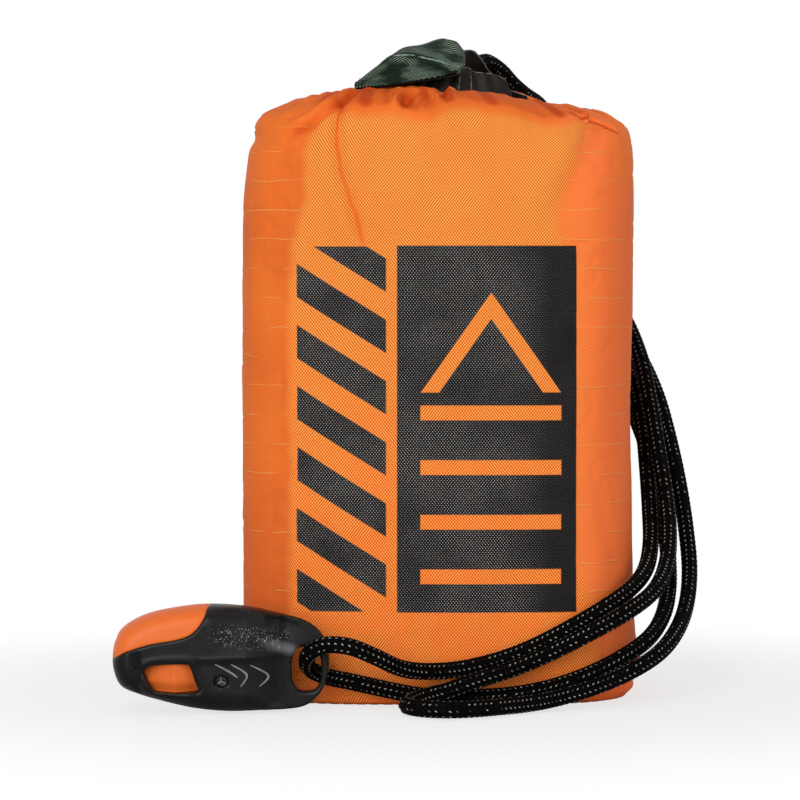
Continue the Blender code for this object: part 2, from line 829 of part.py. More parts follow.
def eye_outline(count=20):
    """The eye, a rounded slot."""
    outline = []
    for i in range(count):
        angle = 2 * math.pi * i / count
        c, s = math.cos(angle), math.sin(angle)
        x = math.copysign(abs(c) ** 0.7, c) * EYE_HALF_WIDTH
        z = math.copysign(abs(s) ** 0.7, s) * EYE_HALF_HEIGHT - EYE_BELOW_CORD
        outline.append((x / MM, z / MM))
    return outline


def sound_hole_outline(count=12):
    outline = []
    for i in range(count):
        angle = 2 * math.pi * i / count
        x = SOUND_HOLE_PLACE[0] + SOUND_HOLE_RADIUS * math.cos(angle)
        z = SOUND_HOLE_PLACE[1] + SOUND_HOLE_RADIUS * math.sin(angle)
        outline.append((x / MM, z / MM))
    return outline


def tail_slope(name, side):
    """What a shell loses towards the eye: a slope, and then all that stands off the thin tab."""
    tab, beyond = WHISTLE_TAIL / 2, WHISTLE_THICKNESS / 2 + 4 * MM
    slope_from, slope_to, past = -12.5, -4.8, 9.0
    corners = (
        (slope_from, WHISTLE_THICKNESS / 2 + 0.5 * MM),
        (slope_to, tab),
        (past, tab),
        (past, beyond),
        (slope_from, beyond),
    )
    rings = [[Vector((x * MM, side * y, z * MM)) for x, y in corners] for z in (-16.0, 17.0)]
    mesh = loft(name, rings, closed=True)
    build = bmesh.new()
    build.from_mesh(mesh)
    bmesh.ops.recalc_face_normals(build, faces=build.faces)
    build.to_mesh(mesh)
    build.free()
    return mesh


def make_whistle(bench, orange, black):
    place = whistle_place()
    half = WHISTLE_THICKNESS / 2
    through = half + 2 * MM

    def cutter(name, mesh):
        made = bench.cutter(name, mesh)
        made.location = place
        return made

    def slab(name, outline, near, far):
        return cutter(name, upright(name, outline, sorted([(near, 1.0), (far, 1.0)])))

    eye = slab("eye_cut", eye_outline(), -through, through)
    window = slab("window_cut", WINDOW_OUTLINE, -through, through)
    hole = slab("sound_hole_cut", sound_hole_outline(), -through, through)

    pocket_outline = drawn(WHISTLE_OUTLINE, 0.94, 0.86, -1.4, -6.0)
    core_face = CORE_THICKNESS / 2 + GAP
    for name, side in (("whistle_shell_near", -1), ("whistle_shell_far", 1)):
        steps = (
            (side * GAP / 2, 1.0),
            (side * 0.40 * half, 0.99),
            (side * 0.70 * half, 0.96),
            (side * 0.92 * half, 0.90),
            (side * half, 0.82),
        )
        shell = bench.part(name, upright(name, WHISTLE_OUTLINE, steps), black)
        shell.location = place
        inward = -side * MM
        bench.cut(shell, slab(name + "_pocket", pocket_outline, inward, side * core_face))
        bench.cut(shell, slab(name + "_mouthpiece_room", MOUTHPIECE_OUTLINE, inward, side * through))
        bench.cut(shell, cutter(name + "_tail_slope", tail_slope(name + "_tail_slope", side)))
        for one in (eye, window, hole):
            bench.cut(shell, one)

    # the core is a plate between the shells, joined to the mouthpiece that comes out to their skin
    flat = CORE_THICKNESS / 2
    core_outline = drawn(WHISTLE_OUTLINE, 0.92, 0.82, -1.9, -6.6)
    plate_mesh = upright("whistle_core", core_outline, ((-flat, 1.0), (flat, 1.0)))
    core = bench.part("whistle_core", plate_mesh, orange)
    core.location = place
    skin = half - 0.5 * MM
    steps = (
        (-skin, 0.86),
        (-0.80 * skin, 0.97),
        (-0.50 * skin, 1.0),
        (0.50 * skin, 1.0),
        (0.80 * skin, 0.97),
        (skin, 0.86),
    )
    block = cutter("mouthpiece", upright("mouthpiece", LIP_OUTLINE, steps))
    join = core.modifiers.new("mouthpiece", "BOOLEAN")
    join.operation = "UNION"
    join.object = block
    bench.cut(core, slab("windway_cut", WINDWAY_OUTLINE, -0.62 * half, 0.62 * half))


def main():
    bench = Bench()
    orange = material("orange_ripstop", ORANGE, 0.55)
    tape = material("binding_tape", (0.70, 0.20, 0.04), 0.7)
    green = material("green_twill", (0.02, 0.07, 0.04), 0.6)
    satin = material("black_satin", BLACK, 0.35)
    cord = material("black_braid", BLACK, 0.6)
    film = material("tent_film", (0.85, 0.30, 0.08), 0.3)
    elastic = material("elastic", (0.75, 0.74, 0.70), 0.8)
    core = material("orange_plastic", (0.90, 0.22, 0.04), 0.4)
    rubber = material("black_rubber", BLACK, 0.5)
    make_wall(bench, orange)
    make_base(bench, orange, tape)
    make_back_seam(bench, orange)
    make_gather(bench, orange)
    make_hem(bench, orange)
    make_lining(bench, satin)
    make_cords(bench, cord)
    make_knot(bench, cord)
    make_flap(bench, green, satin)
    make_roll(bench, film, elastic)
    make_whistle(bench, core, rubber)


main()
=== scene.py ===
"""Emergency tent in its sack: cloth, cord, whistle, flap and film, built round the packed frame.

Run as a script, it builds every piece. The panel in the 3D view's sidebar lists the same steps.
Lengths are in metres, and a place written in millimetres is multiplied by MM. The sack's front is
-Y and its right is +X, as the frame has them.
"""

import math

import bmesh
import bpy
import numpy as np
from bpy.props import FloatProperty, FloatVectorProperty, IntProperty, PointerProperty
from mathutils import Matrix, Vector, geometry, noise


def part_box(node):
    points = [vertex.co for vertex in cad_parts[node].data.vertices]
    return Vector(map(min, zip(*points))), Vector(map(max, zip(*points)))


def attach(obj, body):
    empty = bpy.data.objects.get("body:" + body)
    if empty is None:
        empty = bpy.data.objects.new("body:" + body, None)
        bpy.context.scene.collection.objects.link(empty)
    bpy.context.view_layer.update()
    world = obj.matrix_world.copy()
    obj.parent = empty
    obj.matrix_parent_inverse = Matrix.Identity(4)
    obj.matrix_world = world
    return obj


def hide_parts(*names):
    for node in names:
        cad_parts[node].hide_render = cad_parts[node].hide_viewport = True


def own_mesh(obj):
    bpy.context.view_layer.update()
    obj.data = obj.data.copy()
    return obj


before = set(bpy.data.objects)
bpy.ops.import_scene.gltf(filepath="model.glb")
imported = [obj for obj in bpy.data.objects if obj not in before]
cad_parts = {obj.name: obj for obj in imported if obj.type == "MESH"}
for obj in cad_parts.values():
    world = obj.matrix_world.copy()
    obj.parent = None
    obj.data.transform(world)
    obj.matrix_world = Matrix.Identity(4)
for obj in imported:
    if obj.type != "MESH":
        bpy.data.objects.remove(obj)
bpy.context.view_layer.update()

bl_info = {
    "name": "Emergency tent in its sack",
    "version": (1, 0, 0),
    "blender": (4, 5, 0),
    "location": "3D View > Sidebar > Tent",
    "description": "Builds the cloth, cord, whistle, flap and film of a packed emergency tent",
    "category": "Add Mesh",
}

MM = 0.001
WALL_LOW, WALL_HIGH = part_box("sack_wall")
KNOT_LOW, KNOT_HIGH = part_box("cord_knot")
ROLL_LOW, ROLL_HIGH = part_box("tent_film_roll")
SHELL_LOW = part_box("whistle_shell_near")[0]

SACK_WIDTH = WALL_HIGH.x - WALL_LOW.x
SACK_DEPTH = WALL_HIGH.y - WALL_LOW.y
SQUARENESS = 3.6
WALL_HEIGHT = WALL_HIGH.z
RIDGE_HEIGHT = WALL_HEIGHT + 0.0083
MOUTH_CENTRE = (0.0023, 0.029 - SACK_DEPTH / 2)
MOUTH_HALF_WIDTH = 0.024
MOUTH_HALF_DEPTH = 0.015
HEM_HEIGHT = RIDGE_HEIGHT - 0.0011
HEM_RADIUS = 0.0030
FLAP_AXIS = (0.0332, WALL_HEIGHT + 0.0020)
# Where the cord crosses the whistle's eye
EYE_PLACE = Vector((-0.0309, -SACK_DEPTH / 2 - 0.0100, 0.0114))


class SackSizes(bpy.types.PropertyGroup):
    """The sack's cloth and its print."""

    cloth: FloatProperty(
        name="Cloth", description="Thickness of the cloth", default=0.00035, unit="LENGTH", min=0.0001
    )
    thread_across: FloatProperty(
        name="Thread pitch across", description="Weave repeat round the sack", default=0.00068,
        unit="LENGTH", precision=5,
    )
    thread_up: FloatProperty(
        name="Thread pitch up", description="Weave repeat up the sack", default=0.00087,
        unit="LENGTH", precision=5,
    )
    rip_pitch: FloatProperty(
        name="Ripstop pitch", description="Distance between the thick threads", default=0.0068,
        unit="LENGTH",
    )
    wrinkle: FloatProperty(
        name="Wrinkle depth", description="Depth of the cloth's small wrinkles", default=0.00035,
        unit="LENGTH",
    )
    colour: FloatVectorProperty(
        name="Cloth colour", description="Orange of the cloth", subtype="COLOR",
        default=(0.88, 0.245, 0.034),
    )
    ink: FloatVectorProperty(
        name="Ink colour", description="Black of the print", subtype="COLOR",
        default=(0.0060, 0.0052, 0.0050),
    )


class CordSizes(bpy.types.PropertyGroup):
    """The braided cord."""

    diameter: FloatProperty(
        name="Diameter", description="Diameter of the cord", default=0.004, unit="LENGTH"
    )
    stitch: FloatProperty(
        name="Stitch", description="Length of one stitch of the braid", default=0.00132,
        unit="LENGTH", precision=5,
    )
    relief: FloatProperty(
        name="Relief", description="Depth of the furrows between stitches", default=0.00028,
        unit="LENGTH", precision=5,
    )
    columns: IntProperty(
        name="Columns", description="Columns of stitches round the cord", default=8, min=4, max=16
    )
    colour: FloatVectorProperty(
        name="Colour", description="Black of the cord", subtype="COLOR",
        default=(0.0020, 0.0017, 0.0015),
    )
    # painted highlight: the colour of the pale flecks on some stitches
    glint_fleck: FloatVectorProperty(
        name="Fleck", description="Pale thread in the braid", subtype="COLOR",
        default=(0.44, 0.44, 0.41),
    )


class WhistleSizes(bpy.types.PropertyGroup):
    """The whistle's two shells and its core."""

    thickness: FloatProperty(
        name="Thickness", description="Across both shells", unit="LENGTH",
        default=-2 * (SHELL_LOW.y - (-SACK_DEPTH / 2 - 0.0100)),
    )
    rounding: FloatProperty(
        name="Rounding", description="Width of the shells' rounded edge", default=0.0050, unit="LENGTH"
    )
    spacing: FloatProperty(
        name="Spacing", description="Distance between points on the skins", default=0.00034,
        unit="LENGTH", precision=5,
    )
    rubber: FloatVectorProperty(
        name="Rubber", description="Black of the shells", subtype="COLOR",
        default=(0.0065, 0.0060, 0.0060),
    )
    plastic: FloatVectorProperty(
        name="Plastic", description="Orange of the core", subtype="COLOR", default=(0.84, 0.165, 0.026)
    )


class MouthSizes(bpy.types.PropertyGroup):
    """The drawn mouth, its lining and the flap."""

    pleats: IntProperty(name="Pleats", description="Pleats round the mouth", default=17, min=5)
    pleat_depth: FloatProperty(
        name="Pleat depth", description="Depth of the pleats at the hem", default=0.0009, unit="LENGTH"
    )
    lining_folds: IntProperty(
        name="Lining folds", description="Folds round the lining", default=11, min=4
    )
    satin: FloatVectorProperty(
        name="Satin", description="Black of the lining", subtype="COLOR",
        default=(0.0058, 0.0042, 0.0036),
    )
    twill: FloatVectorProperty(
        name="Twill", description="Green of the flap", subtype="COLOR", default=(0.0090, 0.0260, 0.0150)
    )


class RollSizes(bpy.types.PropertyGroup):
    """The rolled film and its bands."""

    layers: IntProperty(name="Layers", description="Turns seen at the roll's end", default=13, min=3)
    crinkle: FloatProperty(
        name="Crinkle", description="Depth of the film's crinkles", default=0.00045, unit="LENGTH"
    )
    film: FloatVectorProperty(
        name="Film", description="Orange of the film", subtype="COLOR", default=(0.82, 0.19, 0.035)
    )


class StageSizes(bpy.types.PropertyGroup):
    """Where the camera stands, and the light."""

    distance: FloatProperty(
        name="Distance", description="From the camera to the sack's middle", default=0.9, unit="LENGTH"
    )
    elevation: FloatProperty(
        name="Elevation", description="How far the camera looks down", default=math.radians(2.0),
        subtype="ANGLE",
    )
    focal: FloatProperty(
        name="Focal length", description="Lens in millimetres on a 36 mm frame", default=168.75
    )
    aim_across: FloatProperty(
        name="Aim across", description="Middle of the view", default=-0.0096, unit="LENGTH"
    )
    aim_up: FloatProperty(
        name="Aim up", description="Middle of the view", default=0.0696, unit="LENGTH"
    )
    ambient: FloatProperty(name="Ambient", description="Light from all round", default=0.42)
    key: FloatProperty(name="Key", description="Watts of the lamp before the sack", default=8.2)


GROUPS = {
    "tent_sack": SackSizes,
    "tent_cord": CordSizes,
    "tent_whistle": WhistleSizes,
    "tent_mouth": MouthSizes,
    "tent_roll": RollSizes,
    "tent_stage": StageSizes,
}


# Pieces


def linked(name, data):
    """An object in the scene for this mesh, lamp or camera."""
    obj = bpy.data.objects.new(name, data)
    bpy.context.scene.collection.objects.link(obj)
    return obj


def placed(mesh, finish, body, replaced=(), crisp=40):
    """The finished mesh as a piece of its own name that rides on its body."""
    obj = linked(mesh.name, mesh)
    mesh.materials.clear()
    mesh.materials.append(finish)
    mesh.shade_smooth()
    mesh.set_sharp_from_angle(angle=math.radians(crisp))
    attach(obj, body)
    if replaced:
        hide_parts(*replaced)
    return obj


def evaluated(obj):
    """A new mesh, as the object's modifiers leave it."""
    graph = bpy.context.evaluated_depsgraph_get()
    return bpy.data.meshes.new_from_object(obj.evaluated_get(graph))


def settled(obj):
    """The object with the mesh that its modifiers leave, and no modifier."""
    mesh = evaluated(obj)
    mesh.name = obj.data.name
    obj.modifiers.clear()
    old, obj.data = obj.data, mesh
    bpy.data.meshes.remove(old)
    return obj


def thickened(obj, thickness, offset=-1.0):
    modifier = obj.modifiers.new("cloth", "SOLIDIFY")
    modifier.thickness, modifier.offset = thickness, offset
    return settled(obj)


def as_mesh(build, name):
    """The bmesh as a new mesh."""
    mesh = bpy.data.meshes.new(name)
    build.to_mesh(mesh)
    build.free()
    return mesh


def skin(name, points, round_it, marks=None, caps=False):
    """A mesh over rows of points. Rows may close on themselves, and marks are the corners' UV."""
    points = np.asarray(points, float)
    rows, columns = points.shape[:2]
    across = columns if round_it else columns - 1
    r, c = np.meshgrid(np.arange(rows - 1), np.arange(across), indexing="ij")
    d = (c + 1) % columns
    faces = np.stack(
        (r * columns + c, r * columns + d, (r + 1) * columns + d, (r + 1) * columns + c), axis=-1
    ).reshape(-1, 4).tolist()
    if caps:
        faces += [range(columns - 1, -1, -1), range((rows - 1) * columns, rows * columns)]
    mesh = bpy.data.meshes.new(name)
    mesh.from_pydata(points.reshape(-1, 3).tolist(), [], faces)
    if marks is not None:
        marks = np.asarray(marks, float)
        corners = np.stack(
            (marks[r, c], marks[r, c + 1], marks[r + 1, c + 1], marks[r + 1, c]), axis=2
        ).reshape(-1, 2)
        if caps:
            corners = np.concatenate((corners, marks[0, columns - 1 :: -1], marks[-1, :columns]))
        layer = mesh.uv_layers.new(name="cloth")
        layer.data.foreach_set("uv", corners.ravel())
    mesh.update()
    return mesh


def ripple(points, scale, seed=0.0):
    """Smooth noise from -1 to 1 at each point of an array, at so many waves a metre."""
    flat = np.asarray(points, float).reshape(-1, 3) * scale + (seed * 7.3, seed * 3.1, seed * 5.7)
    values = [noise.noise(p) for p in flat.tolist()]
    return np.array(values).reshape(np.asarray(points).shape[:-1])


def smooth_step(value, low, high):
    share = np.clip((value - low) / (high - low), 0.0, 1.0)
    return share * share * (3 - 2 * share)


def bell(off, width):
    """1 in the middle, falling smoothly away over the width."""
    return np.exp(-((off / width) ** 2))


def travelled(points):
    """How far along the points each of them is, from the first one."""
    step = np.linalg.norm(np.diff(np.asarray(points, float), axis=0), axis=1)
    return np.concatenate(([0.0], np.cumsum(step)))


def strung(lines, closed):
    """The points of all the lines, and the edges that join each line's own points."""
    points, edges = [], []
    for line in lines:
        start, count = len(points), len(line)
        points += [tuple(p) for p in line]
        edges += [
            (start + i, start + (i + 1) % count) for i in range(count if closed else count - 1)
        ]
    return points, edges


def evenly(line, count, closed=False):
    """Points evenly spaced along the line."""
    length = travelled(line)
    wanted = np.linspace(0, length[-1], count, endpoint=not closed)
    return np.stack([np.interp(wanted, length, values) for values in line.T], axis=-1)


def headings(line):
    """The way ahead at each point of the line."""
    ahead = np.gradient(line, axis=0)
    return ahead / np.linalg.norm(ahead, axis=1, keepdims=True)


def spread(values, count):
    """Values at count places along a smooth line through the given ones."""
    values = np.asarray(values, float)
    last = len(values) - 1
    places = np.linspace(0, last, count)
    i = np.minimum(places.astype(int), last - 1)
    t = (places - i).reshape((-1,) + (1,) * (values.ndim - 1))
    p0, p1, p2, p3 = (values[np.clip(i + k, 0, last)] for k in (-1, 0, 1, 2))
    return 0.5 * (
        2 * p1
        + (p2 - p0) * t
        + (2 * p0 - 5 * p1 + 4 * p2 - p3) * t**2
        + (3 * p1 - 3 * p2 + p3 - p0) * t**3
    )


def off_line(across, up, line):
    """Signed distance from a line of points, left of it positive, and how far along it is."""
    best = np.full(across.shape, 1e9)
    signed = np.zeros(across.shape)
    along = np.zeros(across.shape)
    gone = 0.0
    for (ax, ay), (bx, by) in zip(line, line[1:]):
        dx, dy = bx - ax, by - ay
        length = math.hypot(dx, dy)
        t = np.clip(((across - ax) * dx + (up - ay) * dy) / length**2, 0.0, 1.0)
        ex, ey = across - (ax + t * dx), up - (ay + t * dy)
        far = np.hypot(ex, ey)
        side = np.where(dx * ey - dy * ex >= 0, 1.0, -1.0)
        nearer = far < best
        best = np.where(nearer, far, best)
        signed = np.where(nearer, side * far, signed)
        along = np.where(nearer, gone + t * length, along)
        gone += length
    return signed, along / gone


# Materials


class Value:
    """What a node gives out, for plain arithmetic with nodes."""

    def __init__(self, nodes, socket):
        self.nodes, self.socket = nodes, socket

    def __add__(self, other):
        return self.nodes.math("ADD", self, other)

    def __sub__(self, other):
        return self.nodes.math("SUBTRACT", self, other)

    def __rsub__(self, other):
        return self.nodes.math("SUBTRACT", other, self)

    def __mul__(self, other):
        return self.nodes.math("MULTIPLY", self, other)

    def __truediv__(self, other):
        return self.nodes.math("DIVIDE", self, other)

    def __pow__(self, other):
        return self.nodes.math("POWER", self, other)

    def __abs__(self):
        return self.nodes.math("ABSOLUTE", self)


class Nodes:
    """A node tree in the making."""

    def __init__(self, tree):
        self.tree = tree

    def feed(self, socket, value):
        if isinstance(value, Value):
            value = value.socket
        if isinstance(value, bpy.types.NodeSocket):
            self.tree.links.new(value, socket)
        elif hasattr(value, "__len__") and len(value) == 3 and len(socket.default_value) == 4:
            socket.default_value = (*value, 1.0)
        else:
            socket.default_value = value

    def node(self, kind, inputs=(), **settings):
        """A node with its settings, then its inputs, which are given in order or by name."""
        made = self.tree.nodes.new(kind)
        for key, value in settings.items():
            setattr(made, key, value)
        for key, value in inputs.items() if isinstance(inputs, dict) else enumerate(inputs):
            self.feed(made.inputs[key], value)
        return made

    def out(self, kind, inputs=(), output=0, **settings):
        return Value(self, self.node(kind, inputs, **settings).outputs[output])

    def math(self, operation, *values):
        return self.out("ShaderNodeMath", values, operation=operation)


class Finish(Nodes):
    """A material in the making."""

    def __init__(self, name, roughness, **settings):
        self.material = bpy.data.materials.new(name)
        self.material.use_nodes = True
        super().__init__(self.material.node_tree)
        self.shader = self.tree.nodes["Principled BSDF"]
        self.shader.inputs["Roughness"].default_value = roughness
        for socket, value in settings.items():
            self.shader.inputs[socket.replace("_", " ")].default_value = value

    def most(self, first, second):
        return self.math("MAXIMUM", first, second)

    def mix(self, share, first, second):
        return self.out("ShaderNodeMix", {0: share, 6: first, 7: second}, 2, data_type="RGBA")

    def step(self, value, low, high, start=0.0, end=1.0):
        values = (value, low, high, start, end)
        return self.out("ShaderNodeMapRange", values, interpolation_type="SMOOTHSTEP")

    def curve(self, value, points):
        """What the value reads off a smooth line through the points."""
        (low, first), (high, last) = min(points), max(points)
        least, most = min(first, last), max(first, last)
        made = self.node("ShaderNodeFloatCurve")
        line = made.mapping.curves[0]
        for i, (place, height) in enumerate(sorted(points)):
            spot = ((place - low) / (high - low), (height - least) / (most - least))
            if i in (0, len(points) - 1):
                line.points[0 if i == 0 else len(line.points) - 1].location = spot
            else:
                line.points.new(*spot)
        made.mapping.update()
        self.feed(made.inputs["Value"], (value - low) / (high - low))
        return self.math("MULTIPLY_ADD", made.outputs[0], most - least, least)

    def noise(self, place, scale, detail=2.0, roughness=0.5):
        inputs = {"Vector": place, "Scale": scale, "Detail": detail, "Roughness": roughness}
        return self.out("ShaderNodeTexNoise", inputs)

    def cells(self, place, scale, feature="F1"):
        return self.out("ShaderNodeTexVoronoi", {"Vector": place, "Scale": scale}, feature=feature)

    def stretched(self, place, shares):
        return self.out("ShaderNodeMapping", {"Vector": place, "Scale": shares})

    def chance(self, across, up):
        """A random number for each whole number across and up."""
        cell = self.out("ShaderNodeCombineXYZ", (self.math("FLOOR", across), self.math("FLOOR", up)))
        return self.out("ShaderNodeTexWhiteNoise", {"Vector": cell}, noise_dimensions="2D")

    def parts(self, place):
        made = self.node("ShaderNodeSeparateXYZ", (place,))
        return [Value(self, socket) for socket in made.outputs]

    def surface(self):
        """The UV place and its two numbers."""
        place = self.out("ShaderNodeUVMap", uv_map="cloth")
        return place, *self.parts(place)[:2]

    def object_place(self):
        return self.out("ShaderNodeTexCoord", output="Object")

    def bump(self, height, distance, onto=None):
        inputs = {"Strength": 1.0, "Distance": distance, "Height": height}
        if onto is not None:
            inputs["Normal"] = onto
        return self.out("ShaderNodeBump", inputs)

    def finish(self, colour=None, normal=None, roughness=None):
        for socket, value in (("Base Color", colour), ("Normal", normal), ("Roughness", roughness)):
            if value is not None:
                self.feed(self.shader.inputs[socket], value)
        return self.material

    def frame_box(self, across, up, box, soft=0.12):
        """1 inside the box (left, right, low, high), in the units of across and up."""
        left, right, low, high = box
        wide = abs(across - (left + right) / 2) - (right - left) / 2
        tall = abs(up - (low + high) / 2) - (high - low) / 2
        return self.step(self.most(wide, tall), -soft, soft, 1.0, 0.0)


def shade(colour, *shares):
    """The colour times one share, or its red, green and blue times three, none past 1."""
    return tuple(min(1.0, share * given) for share, given in zip(shares * (4 - len(shares)), colour))


def print_mask(finish, across, up):
    """Where the ink lies: slanting stripes, and a block with a chevron and bars left out."""
    edge = 0.14
    stripes = finish.step(finish.math("PINGPONG", across * 0.62 + up, 7.05), 3.2 - edge, 3.2 + edge)
    column = stripes * finish.frame_box(across, up, (-33.6, -12.8, 22.0, 106.2), edge)
    block = finish.frame_box(across, up, (-10.3, 31.3, 21.8, 106.4), edge)
    middle, foot = 11.4, 72.6
    slope = abs(across - middle) * 1.42 + (up - foot)
    above = finish.step(up, foot - edge, foot + edge)
    roof = finish.step(slope, 23.0 - edge, 23.0 + edge, 1.0, 0.0) * above
    hollow = finish.step(slope, 17.0 - edge, 17.0 + edge, 1.0, 0.0) * above
    shapes = roof - hollow
    for low in (66.2, 53.6, 41.0, 28.4):
        shapes = finish.most(shapes, finish.frame_box(across, up, (-4.9, 27.7, low, low + 3.4), edge))
    return finish.most(column, finish.most(block - shapes, 0.0))


def ripstop_finish(sizes):
    """Orange nylon: a coarse weave on the front, and thick rip-stopping threads at the sides."""
    finish = Finish("ripstop_nylon", 0.62, Specular_IOR_Level=0.09)
    place, across, up = finish.surface()
    body = finish.object_place()
    # how far the cloth turns from the front, which the colour below turns into painted shade
    turned = finish.out("ShaderNodeAttribute", output="Fac", attribute_name="turned")
    facing = 1.0 - finish.step(turned, 0.06, 0.94)
    round_repeat = 2 * math.pi * MM / sizes.thread_across
    up_repeat = 2 * math.pi * MM / sizes.thread_up
    sway = finish.noise(place, 0.09, 2.0) * 1.3
    a = across * round_repeat + sway
    b = up * up_repeat - sway
    rising = finish.math("COSINE", a - b)
    falling = finish.math("COSINE", a + b)
    lean = finish.step(finish.noise(place, 0.055, 1.0), 0.40, 0.60, 0.25, 0.75)
    weave = rising * lean + falling * (1.0 - lean)
    seen = finish.most(facing, 0.10)

    # thick threads, seen where the cloth turns to the side, broken and a little wavy
    wander = (finish.noise(place, 0.10, 2.0) - 0.5) * 1.6
    pitch = sizes.rip_pitch / MM
    level = finish.math("PINGPONG", up + wander + 0.9, pitch / 2)
    level = finish.step(level, 0.06, 0.30, 1.0, 0.0)
    upright = finish.math("PINGPONG", across + 1.2, pitch / 2)
    upright = finish.step(upright, 0.05, 0.30, 0.14, 0.0)
    kept = finish.step(finish.noise(finish.stretched(place, (0.10, 0.5, 1.0)), 1.0, 1.0), 0.40, 0.56)
    thick = finish.most(level * kept, upright)
    below = finish.step(up, 132.0, 137.0, 1.0, 0.0)
    aside = (1.0 - facing) * below
    thick = thick * finish.most(aside, 0.06)

    crush = finish.noise(body, 260.0, 4.0, 0.55)
    ink = print_mask(finish, across, up)
    mottle = finish.noise(body, 42.0, 3.0, 0.55)

    def tint(*shares):
        return shade(sizes.colour, *shares)

    upper = finish.mix(finish.step(mottle, 0.36, 0.66), tint(0.93, 0.80, 0.78), tint(0.98, 0.88, 0.92))
    front = finish.mix(finish.step(up, 16.0, 108.0), tint(1.12, 0.585, 0.50), upper)
    # painted highlight and shade on the weave: its raised threads are painted paler and yellower, its
    # hollows darker
    front = finish.mix(finish.step(weave, 0.12, 0.78), front, tint(1.2, 1.95, 3.2))
    front = finish.mix(finish.step(weave, -0.05, -0.72), front, tint(0.60, 0.42, 0.16))
    # the side cloth is redder, and painted darker as shade where it turns from the light
    side = finish.mix(finish.step(mottle, 0.36, 0.66), tint(0.86, 0.58, 0.60), tint(0.95, 0.70, 0.70))
    # at the right the weave still shows, fainter, past the front's edge
    fringe = finish.step(across, 40.0, 34.0) * finish.step(across, 20.0, 24.0)
    fringe = fringe * finish.step(up, 136.0, 126.0, 0.0, 0.45)
    # painted light: a paler, yellower pool of light on the right shoulder
    shoulder = finish.step(across, 36.0, 46.0) * finish.step(up, 112.0, 128.0, 0.0, 0.6)
    for share, *shares in (
        # painted shade: the sides darker towards the foot
        (finish.step(up, 10.0, 70.0, 1.0, 0.0), 0.80, 0.50, 0.60),
        # painted light: the right side painted paler and pinker
        (finish.step(abs(across - 46.0), 8.0, 30.0, 1.0, 0.0), 1.04, 0.72, 1.25),
        (shoulder, 1.20, 0.86, 0.90),
        # painted shade: cloth marked as turned past 1 is much darker
        (finish.step(turned, 1.0, 1.9), 0.58, 0.22, 0.18),
        # the weave's painted highlight and shade at the right, and the thick threads painted paler as
        # their highlight
        (fringe * finish.step(weave, 0.12, 0.78), 1.15, 1.5, 2.4),
        (fringe * finish.step(weave, -0.05, -0.72), 0.75, 0.42, 0.30),
        (thick * 0.55, 1.1, 1.5, 2.9),
    ):
        side = finish.mix(share, side, tint(*shares))
    colour = finish.mix(finish.most(facing, seen * 0.35), side, front)
    # painted shade: the long crease at the left is painted darker down its middle
    bent = finish.curve(up, [(high, at) for at, high in LEFT_CREASE])
    bent = bent + (finish.noise(place, 0.4) - 0.5) * 0.8
    beside = abs(across - bent)
    crease = finish.step(beside, 0.08, finish.step(up, 142.0, 118.0, 0.5, 0.95), 1.0, 0.0)
    crease = crease * finish.step(up, 104.5, 109.0) * finish.step(up, 142.5, 139.0)
    colour = finish.mix(crease * 0.8, colour, tint(0.80, 0.46, 0.42))
    # painted highlight: pale specks on the print where the weave's raised threads catch the light, more
    # at the left
    specks = finish.step(weave, 0.70, 0.92)
    glint_share = finish.step(finish.noise(body, 70.0, 2.0), 0.30, 0.62, 0.42, 0.92)
    glint_share = glint_share * finish.step(across, 15.0, 26.0, 1.0, 0.14)
    inked = finish.mix(specks * glint_share, tuple(sizes.ink), (0.80, 0.76, 0.72))
    colour = finish.mix(ink, colour, inked)
    height = weave * seen * 0.6 + crush * 1.1
    normal = finish.bump(height, 0.00005)
    normal = finish.bump(thick, 0.00014, normal)
    return finish.finish(colour, normal, finish.step(ink, 0.0, 1.0, 0.62, 0.5))


def braid_finish(sizes):
    """Black braid with pale flecks in some stitches: painted highlights where the stitches catch the
    light.
    """
    finish = Finish("braided_polyester", 0.5, Specular_IOR_Level=0.02)
    place, column, along = finish.surface()
    inside = finish.math("FRACT", column) - 0.5
    turn = finish.math("PINGPONG", finish.math("FLOOR", column), 1.0)
    lean = turn * 2.0 - 1.0
    slanted = along + inside * lean * 0.9
    within = finish.math("FRACT", slanted) - 0.5
    far = (inside / 0.14) ** 2.0 + (within / 0.16) ** 2.0
    chance = finish.chance(column, slanted)
    region = finish.noise(finish.stretched(place, (0.35, 0.05, 1.0)), 1.0, 1.0)
    shown = finish.step(chance + region * 0.8, 0.46, 1.06)
    glint_fleck = finish.step(far, 0.4, 1.2, 1.0, 0.0) * shown
    yarns = finish.math("SINE", (inside + within * lean) * 22.0)
    colour = finish.mix(finish.step(yarns, 0.2, 1.0, 0.0, 0.5), sizes.colour, shade(sizes.colour, 3.0))
    colour = finish.mix(glint_fleck, colour, sizes.glint_fleck)
    return finish.finish(colour, finish.bump(yarns, 0.00003), finish.step(glint_fleck, 0.0, 1.0, 0.5, 0.3))


